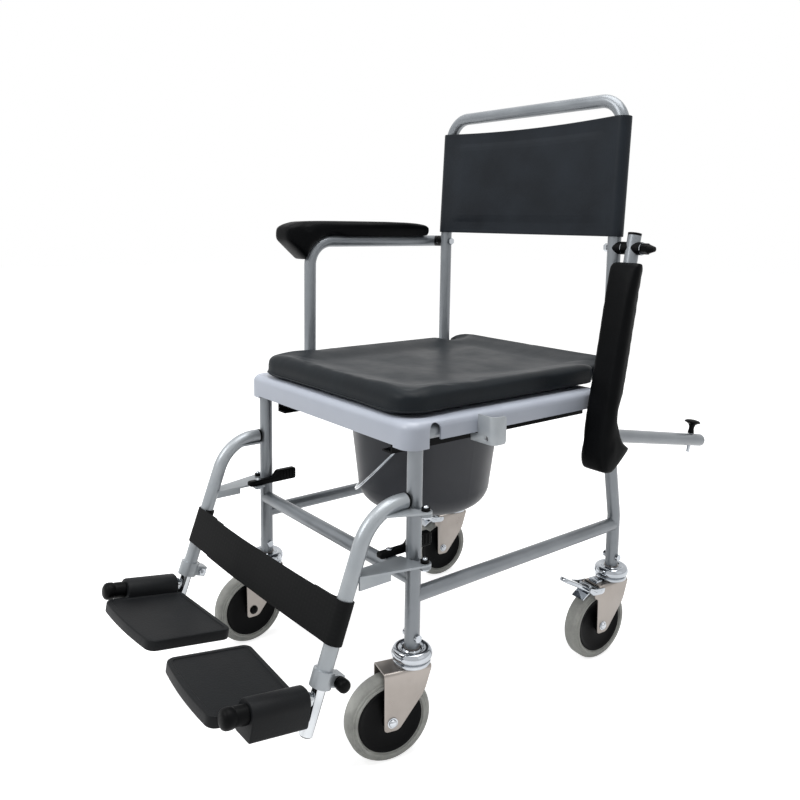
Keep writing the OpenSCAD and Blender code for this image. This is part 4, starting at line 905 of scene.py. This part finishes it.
# ends of the rod and tube, turned from (radius, height) points
rodEnds = dict(
    # grip: a swollen round head on a narrower neck, with a blind bore
    tip=-137.5, gripSteps=48,
    grip=[(0, 0), (5, 0.2), (9, 1.2), (11.8, 3.2), (13.2, 6), (13.5, 9), (13.4, 13), (12.8, 15.4),
          (12.2, 16.6), (12.6, 18.4), (12.6, 33.4), (12, 34), (6.1, 34), (6.1, 5), (0, 5)],
    # bright collar where the rod leaves the tube
    collarY=-18.4, collarSteps=40,
    collar=[(6.1, 0), (8.6, 0), (9.4, 0.8), (9.4, 7.2), (8.6, 8), (6.1, 8), (6.1, 0)],
    # plug in the end of the tube
    plugZ=-64.6, plugSteps=40, plug=[(0, 0), (7.6, 0), (9.2, 1.4), (9.2, 1.8), (0, 1.8)])


def makeRodEnds(sideName):
    side, body, right = sideName.title(), sideName + "_extension", sideName == "right"
    tip = rodPlace @ Matrix.Translation((0, rodEnds["tip"], 0)) @ turn(x=-90)
    grip = turned(rodEnds["grip"], rodEnds["gripSteps"], tip)
    finishPiece(grip, "rodGrip" + side, blackPlastic, body, ["rod_cap_" + sideName],
                mirrored=right)
    root = rodPlace @ Matrix.Translation((0, rodEnds["collarY"], 0)) @ turn(x=-90)
    collar = turned(rodEnds["collar"], rodEnds["collarSteps"], root)
    finishPiece(collar, "rodCollar" + side, brightSteel, body, mirrored=right)
    tubeEnd = slopePlace @ Matrix.Translation((0, 0, rodEnds["plugZ"]))
    plug = turned(rodEnds["plug"], rodEnds["plugSteps"], tubeEnd)
    finishPiece(plug, "tubePlug" + side, blackPlastic, body, mirrored=right)


for sideName in ("left", "right"):
    makeFootplate(sideName)
    makeRodEnds(sideName)
print("footplates made")

# latch lever on each hanger: a paddle with finger ribs, on a rivet of (radius, length, height, sides, edge)
lever = dict(x=188, y=-230, z=292.8, width=11, front=18, length=92, thick=9, paddle=36, tall=20, shoulder=9,
             corner=3.4, edge=1.4, ribs=5, ribStep=6, ribHalf=1.2, ribOut=6.4, ribLow=3, ribTop=18,
             ribEdge=0.8, rivet=[(3, 18, -6.6, 24, 0.5), (6, 3, -6.9, 32, 0.8), (4.6, 1.8, 9, 32, 0.8)])


def makeLever(sideName):
    bm = bmesh.new()
    x, y, z = lever["x"], lever["y"], lever["z"]
    end, tall, thick = lever["length"] - lever["front"], lever["tall"], lever["thick"]
    neck = end - lever["paddle"]
    slab(bm, [(-lever["front"], 0), (end, 0), (end, tall), (neck, tall), (neck - lever["shoulder"], thick),
              (-lever["front"], thick)], lever["width"],
         Matrix.Translation((x - lever["width"] / 2, y, z)) @ alongX(), [(everyCorner, lever["corner"], 4)],
         lever["edge"], 3)
    for k in range(lever["ribs"]):  # finger ribs on the paddle
        ribY = y + end - lever["ribStep"] * (k + 1)
        block(bm, (x - lever["ribOut"], ribY - lever["ribHalf"], z + lever["ribLow"]),
              (x + lever["ribOut"], ribY + lever["ribHalf"], z + lever["ribTop"]), bevel=lever["ribEdge"])
    finishPiece(bm, "latchLever" + sideName.title(), blackPlastic, sideName + "_latch",
                ["latch_lever_" + sideName], mirrored=sideName == "right")
    pin = bmesh.new()
    for radius, length, height, sides, edge in lever["rivet"]:
        shaft(pin, radius, length, Matrix.Translation((x, y, z + height)), sides, edge)
    finishPiece(pin, "latchRivet" + sideName.title(), chrome, sideName + "_latch",
                mirrored=sideName == "right")


# clamp at the foot of each hanger: a plain round cap with a collar, a screw and a nut
clamp = dict(reach=21, rise=10, out=19, gap=0.3, nutR=6.4, nutT=5, nutEdge=0.7, screwR=3, screwL=38,
             screwPast=2.5, screwEdge=0.5, knobSteps=48,
             knob=[(0, 0), (7.4, 0), (8, 0.6), (8, 3), (8.7, 3.8), (9, 5), (9, 13), (8.2, 15.6),
                   (6.4, 17.2), (4, 17.8), (0, 18)])


def makeClamp(sideName):
    side, body, right = sideName.title(), sideName + "_clamp_knob", sideName == "right"
    face = clamp["out"] / 2 + clamp["gap"]
    nut = -face - clamp["nutT"]

    def across(x):  # along the screw, from here on its axis
        return slopePlace @ Matrix.Translation((x, clamp["reach"], clamp["rise"])) @ turn(y=90)

    cap = turned(clamp["knob"], clamp["knobSteps"], across(face))
    finishPiece(cap, "clampKnob" + side, blackPlastic, body, ["clamp_knob_" + sideName],
                mirrored=right)
    screw = bmesh.new()
    shaft(screw, clamp["screwR"], clamp["screwL"], across(nut - clamp["screwPast"]), 24, clamp["screwEdge"])
    shaft(screw, clamp["nutR"], clamp["nutT"], across(nut), 6, clamp["nutEdge"])
    finishPiece(screw, "clampScrew" + side, chrome, body, mirrored=right)


for sideName in ("left", "right"):
    makeLever(sideName)
    makeClamp(sideName)
print("hanger fittings made")

# arm lock pins: neck, flared skirt and domed head of a mushroom knob, (radius, height) along the pin
knob = dict(reach=307, post=299, rise=33, travel=14, pinR=3, pinL=36, pinFrom=-23, pinEdge=1.2, steps=48,
            form=[(0, 11.5), (5.4, 11.5), (5.6, 13), (5.4, 15), (4.6, 19), (4.8, 24), (6.4, 28), (10, 30.4),
                  (13.2, 31.4), (14, 32.6), (13.6, 34), (10.5, 36), (5, 37), (0, 37)])


def makePin(sideName):
    right = sideName == "right"
    pulled = knob["travel"] if right else 0  # the raised arm's pin is drawn, so that the arm can drop
    hole = Matrix.Translation((arm["x"], pulled - knob["reach"], knob["rise"] - knob["post"]))
    spot = armPlace(sideName) @ hole @ turn(x=-90)
    finishPiece(turned(knob["form"], knob["steps"], spot), "pullKnob" + sideName.title(), blackPlastic,
                sideName + "_pull_pin", ["pull_pin_" + sideName], mirrored=right)
    pin = bmesh.new()
    shaft(pin, knob["pinR"], knob["pinL"], spot @ Matrix.Translation((0, 0, knob["pinFrom"])), 24,
          knob["pinEdge"])
    finishPiece(pin, "pullPin" + sideName.title(), chrome, sideName + "_pull_pin",
                mirrored=right)


makePin("left")
makePin("right")
print("arm pins made")

# bent plates on the seat rails that take the arm posts
receiver = dict(inner=212, out=257, front=-100, rear=-76, bend=9, low=444, top=485, sheet=3, skirtX=226,
                skirtZ=455.6, corner=5, pinZ=452, pinR=3.5, pinDeep=16, trim=0.7, sharp=35)


def makeReceivers():
    r, front, out, skirtX = receiver["bend"], receiver["front"], receiver["out"], receiver["skirtX"]
    fold = [(out - r + r * math.sin(math.radians(a)), front + r - r * math.cos(math.radians(a)))
            for a in range(0, 91, 10)]
    plan = [(receiver["inner"], front), (skirtX, front)] + fold + [(out, receiver["rear"])]
    bm = bmesh.new()
    line = [bm.verts.new((x, y, receiver["low"])) for x, y in plan]
    row = [bm.edges.new(pair) for pair in zip(line, line[1:])]
    for height in (receiver["skirtZ"], receiver["top"]):
        # the upper part starts outside the skirt of the seat
        row = [e for e in raiseRow(bm, row, height) if all(v.co.x > skirtX - nearly for v in e.verts)]
    ends = [v for v in bm.verts if v.co.y > receiver["rear"] - nearly
            and abs(v.co.z - receiver["skirtZ"]) > nearly]
    roundOff(bm, ends, receiver["corner"], 5)
    twin = bmesh.ops.duplicate(bm, geom=bm.verts[:] + bm.edges[:] + bm.faces[:])["geom"]
    bmesh.ops.scale(bm, vec=(-1, 1, 1), verts=only(twin, bmesh.types.BMVert))
    bmesh.ops.reverse_faces(bm, faces=only(twin, bmesh.types.BMFace))
    piece = finishPiece(bm, "armReceivers", hangerPaint, "frame", ["arm_receivers"])
    addWall(piece, receiver["sheet"], 0)
    cut = bmesh.new()
    for x in (-arm["x"], arm["x"]):
        spot = Matrix.Translation((x, front + receiver["pinDeep"] / 2, receiver["pinZ"])) @ turn(x=90)
        shaft(cut, receiver["pinR"], receiver["pinDeep"], spot, 32)
    cutter = bite(piece, cut)
    addTrim(piece, receiver["trim"], 2)
    settle(piece)
    piece.data.shade_smooth()
    piece.data.set_sharp_from_angle(angle=math.radians(receiver["sharp"]))
    bpy.data.objects.remove(cutter)


makeReceivers()
print("receivers made")

# finishes on the solids that stay
kept = {
    framePaint: ["front_legs", "back_frame", "lower_side_rails", "front_crossbar", "seat_tubes",
                 "hanger_lugs", "arm_tube_left", "arm_tube_right"],
    hangerPaint: ["hanger_left", "hanger_right"],
    blackPlastic: ["pail_rails", "pin_bushes", "arm_pivot_saddles", "arm_trim_left", "arm_trim_right",
                   "hanger_cap_left", "hanger_cap_right"],
    chrome: ["hanger_pins", "frame_bolts", "bail"],
    brightSteel: ["extension_left", "extension_right"],
    zinc: ["castor_stems"],
    pailPlastic: ["pail"],
}
for finish, names in kept.items():
    for name in names:
        nodes[name].data.materials.clear()
        nodes[name].data.materials.append(finish)
print("solids finished")

# floor, air and lamps, in metres and watts
studio = dict(floor=12, floorTone="#DADADA", glow=0.77, sky=0.33, aim=(0, 0, 0.5),
              lamps=dict(keyLight=dict(place=(-0.6, -2.4, 2.4), size=1.6, power=50),
                         fillLight=dict(place=(2.6, 0.6, 1.7), size=1.8, power=3),
                         topLight=dict(place=(0.2, 0.2, 3.0), size=2.2, power=68)))


def clearRay(tree):  # 1 for what is seen straight, in a reflection or through a clear piece
    path = addNode(tree, "ShaderNodeLightPath")
    seen = addNode(tree, "ShaderNodeMath", links={0: (path, "Is Camera Ray"), 1: (path, "Is Glossy Ray")},
                   operation="MAXIMUM")
    return addNode(tree, "ShaderNodeMath", links={0: (seen, "Value"), 1: (path, "Is Transmission Ray")},
                   operation="MAXIMUM")


def layFloor():
    bm = bmesh.new()
    bmesh.ops.create_grid(bm, x_segments=1, y_segments=1, size=studio["floor"])
    mesh = bpy.data.meshes.new("floor")
    bm.to_mesh(mesh)
    bm.free()
    floor = bpy.data.objects.new("floor", mesh)
    scene.collection.objects.link(floor)
    # matt studio paper, lifted to white for the eye only, so the shadow stays
    finish, tree, shader = startFinish("studioPaper")
    tune(shader, Base_Color=paint(studio["floorTone"]), Roughness=0.9, Specular_IOR_Level=0.1,
         Emission_Color=grey(1))
    glow = addNode(tree, "ShaderNodeMath", {1: studio["glow"]}, {0: (clearRay(tree), "Value")},
                   operation="MULTIPLY")
    feed(tree, shader, Emission_Strength=(glow, "Value"))
    mesh.materials.append(finish)


def fillAir():  # white to the eye, dimmer as a light
    world = bpy.data.worlds.new("studio")
    scene.world = world
    world.use_nodes = True
    tree = world.node_tree
    air = tree.nodes["Background"]
    tune(air, Color=grey(1))
    level = addNode(tree, "ShaderNodeMapRange", {"To Min": studio["sky"], "To Max": 1.0},
                    {"Value": (clearRay(tree), "Value")})
    feed(tree, air, Strength=(level, "Result"))


def hangLamps():
    for name, lamp in studio["lamps"].items():
        data = bpy.data.lights.new(name, "AREA")
        data.shape, data.size, data.energy = "SQUARE", lamp["size"], lamp["power"]
        holder = bpy.data.objects.new(name, data)
        scene.collection.objects.link(holder)
        aim = Vector(studio["aim"]) - Vector(lamp["place"])
        spin = aim.to_track_quat("-Z", "Y").to_matrix().to_4x4()
        holder.matrix_world = Matrix.Translation(lamp["place"]) @ spin


layFloor()
fillAir()
hangLamps()
print("stage lit")
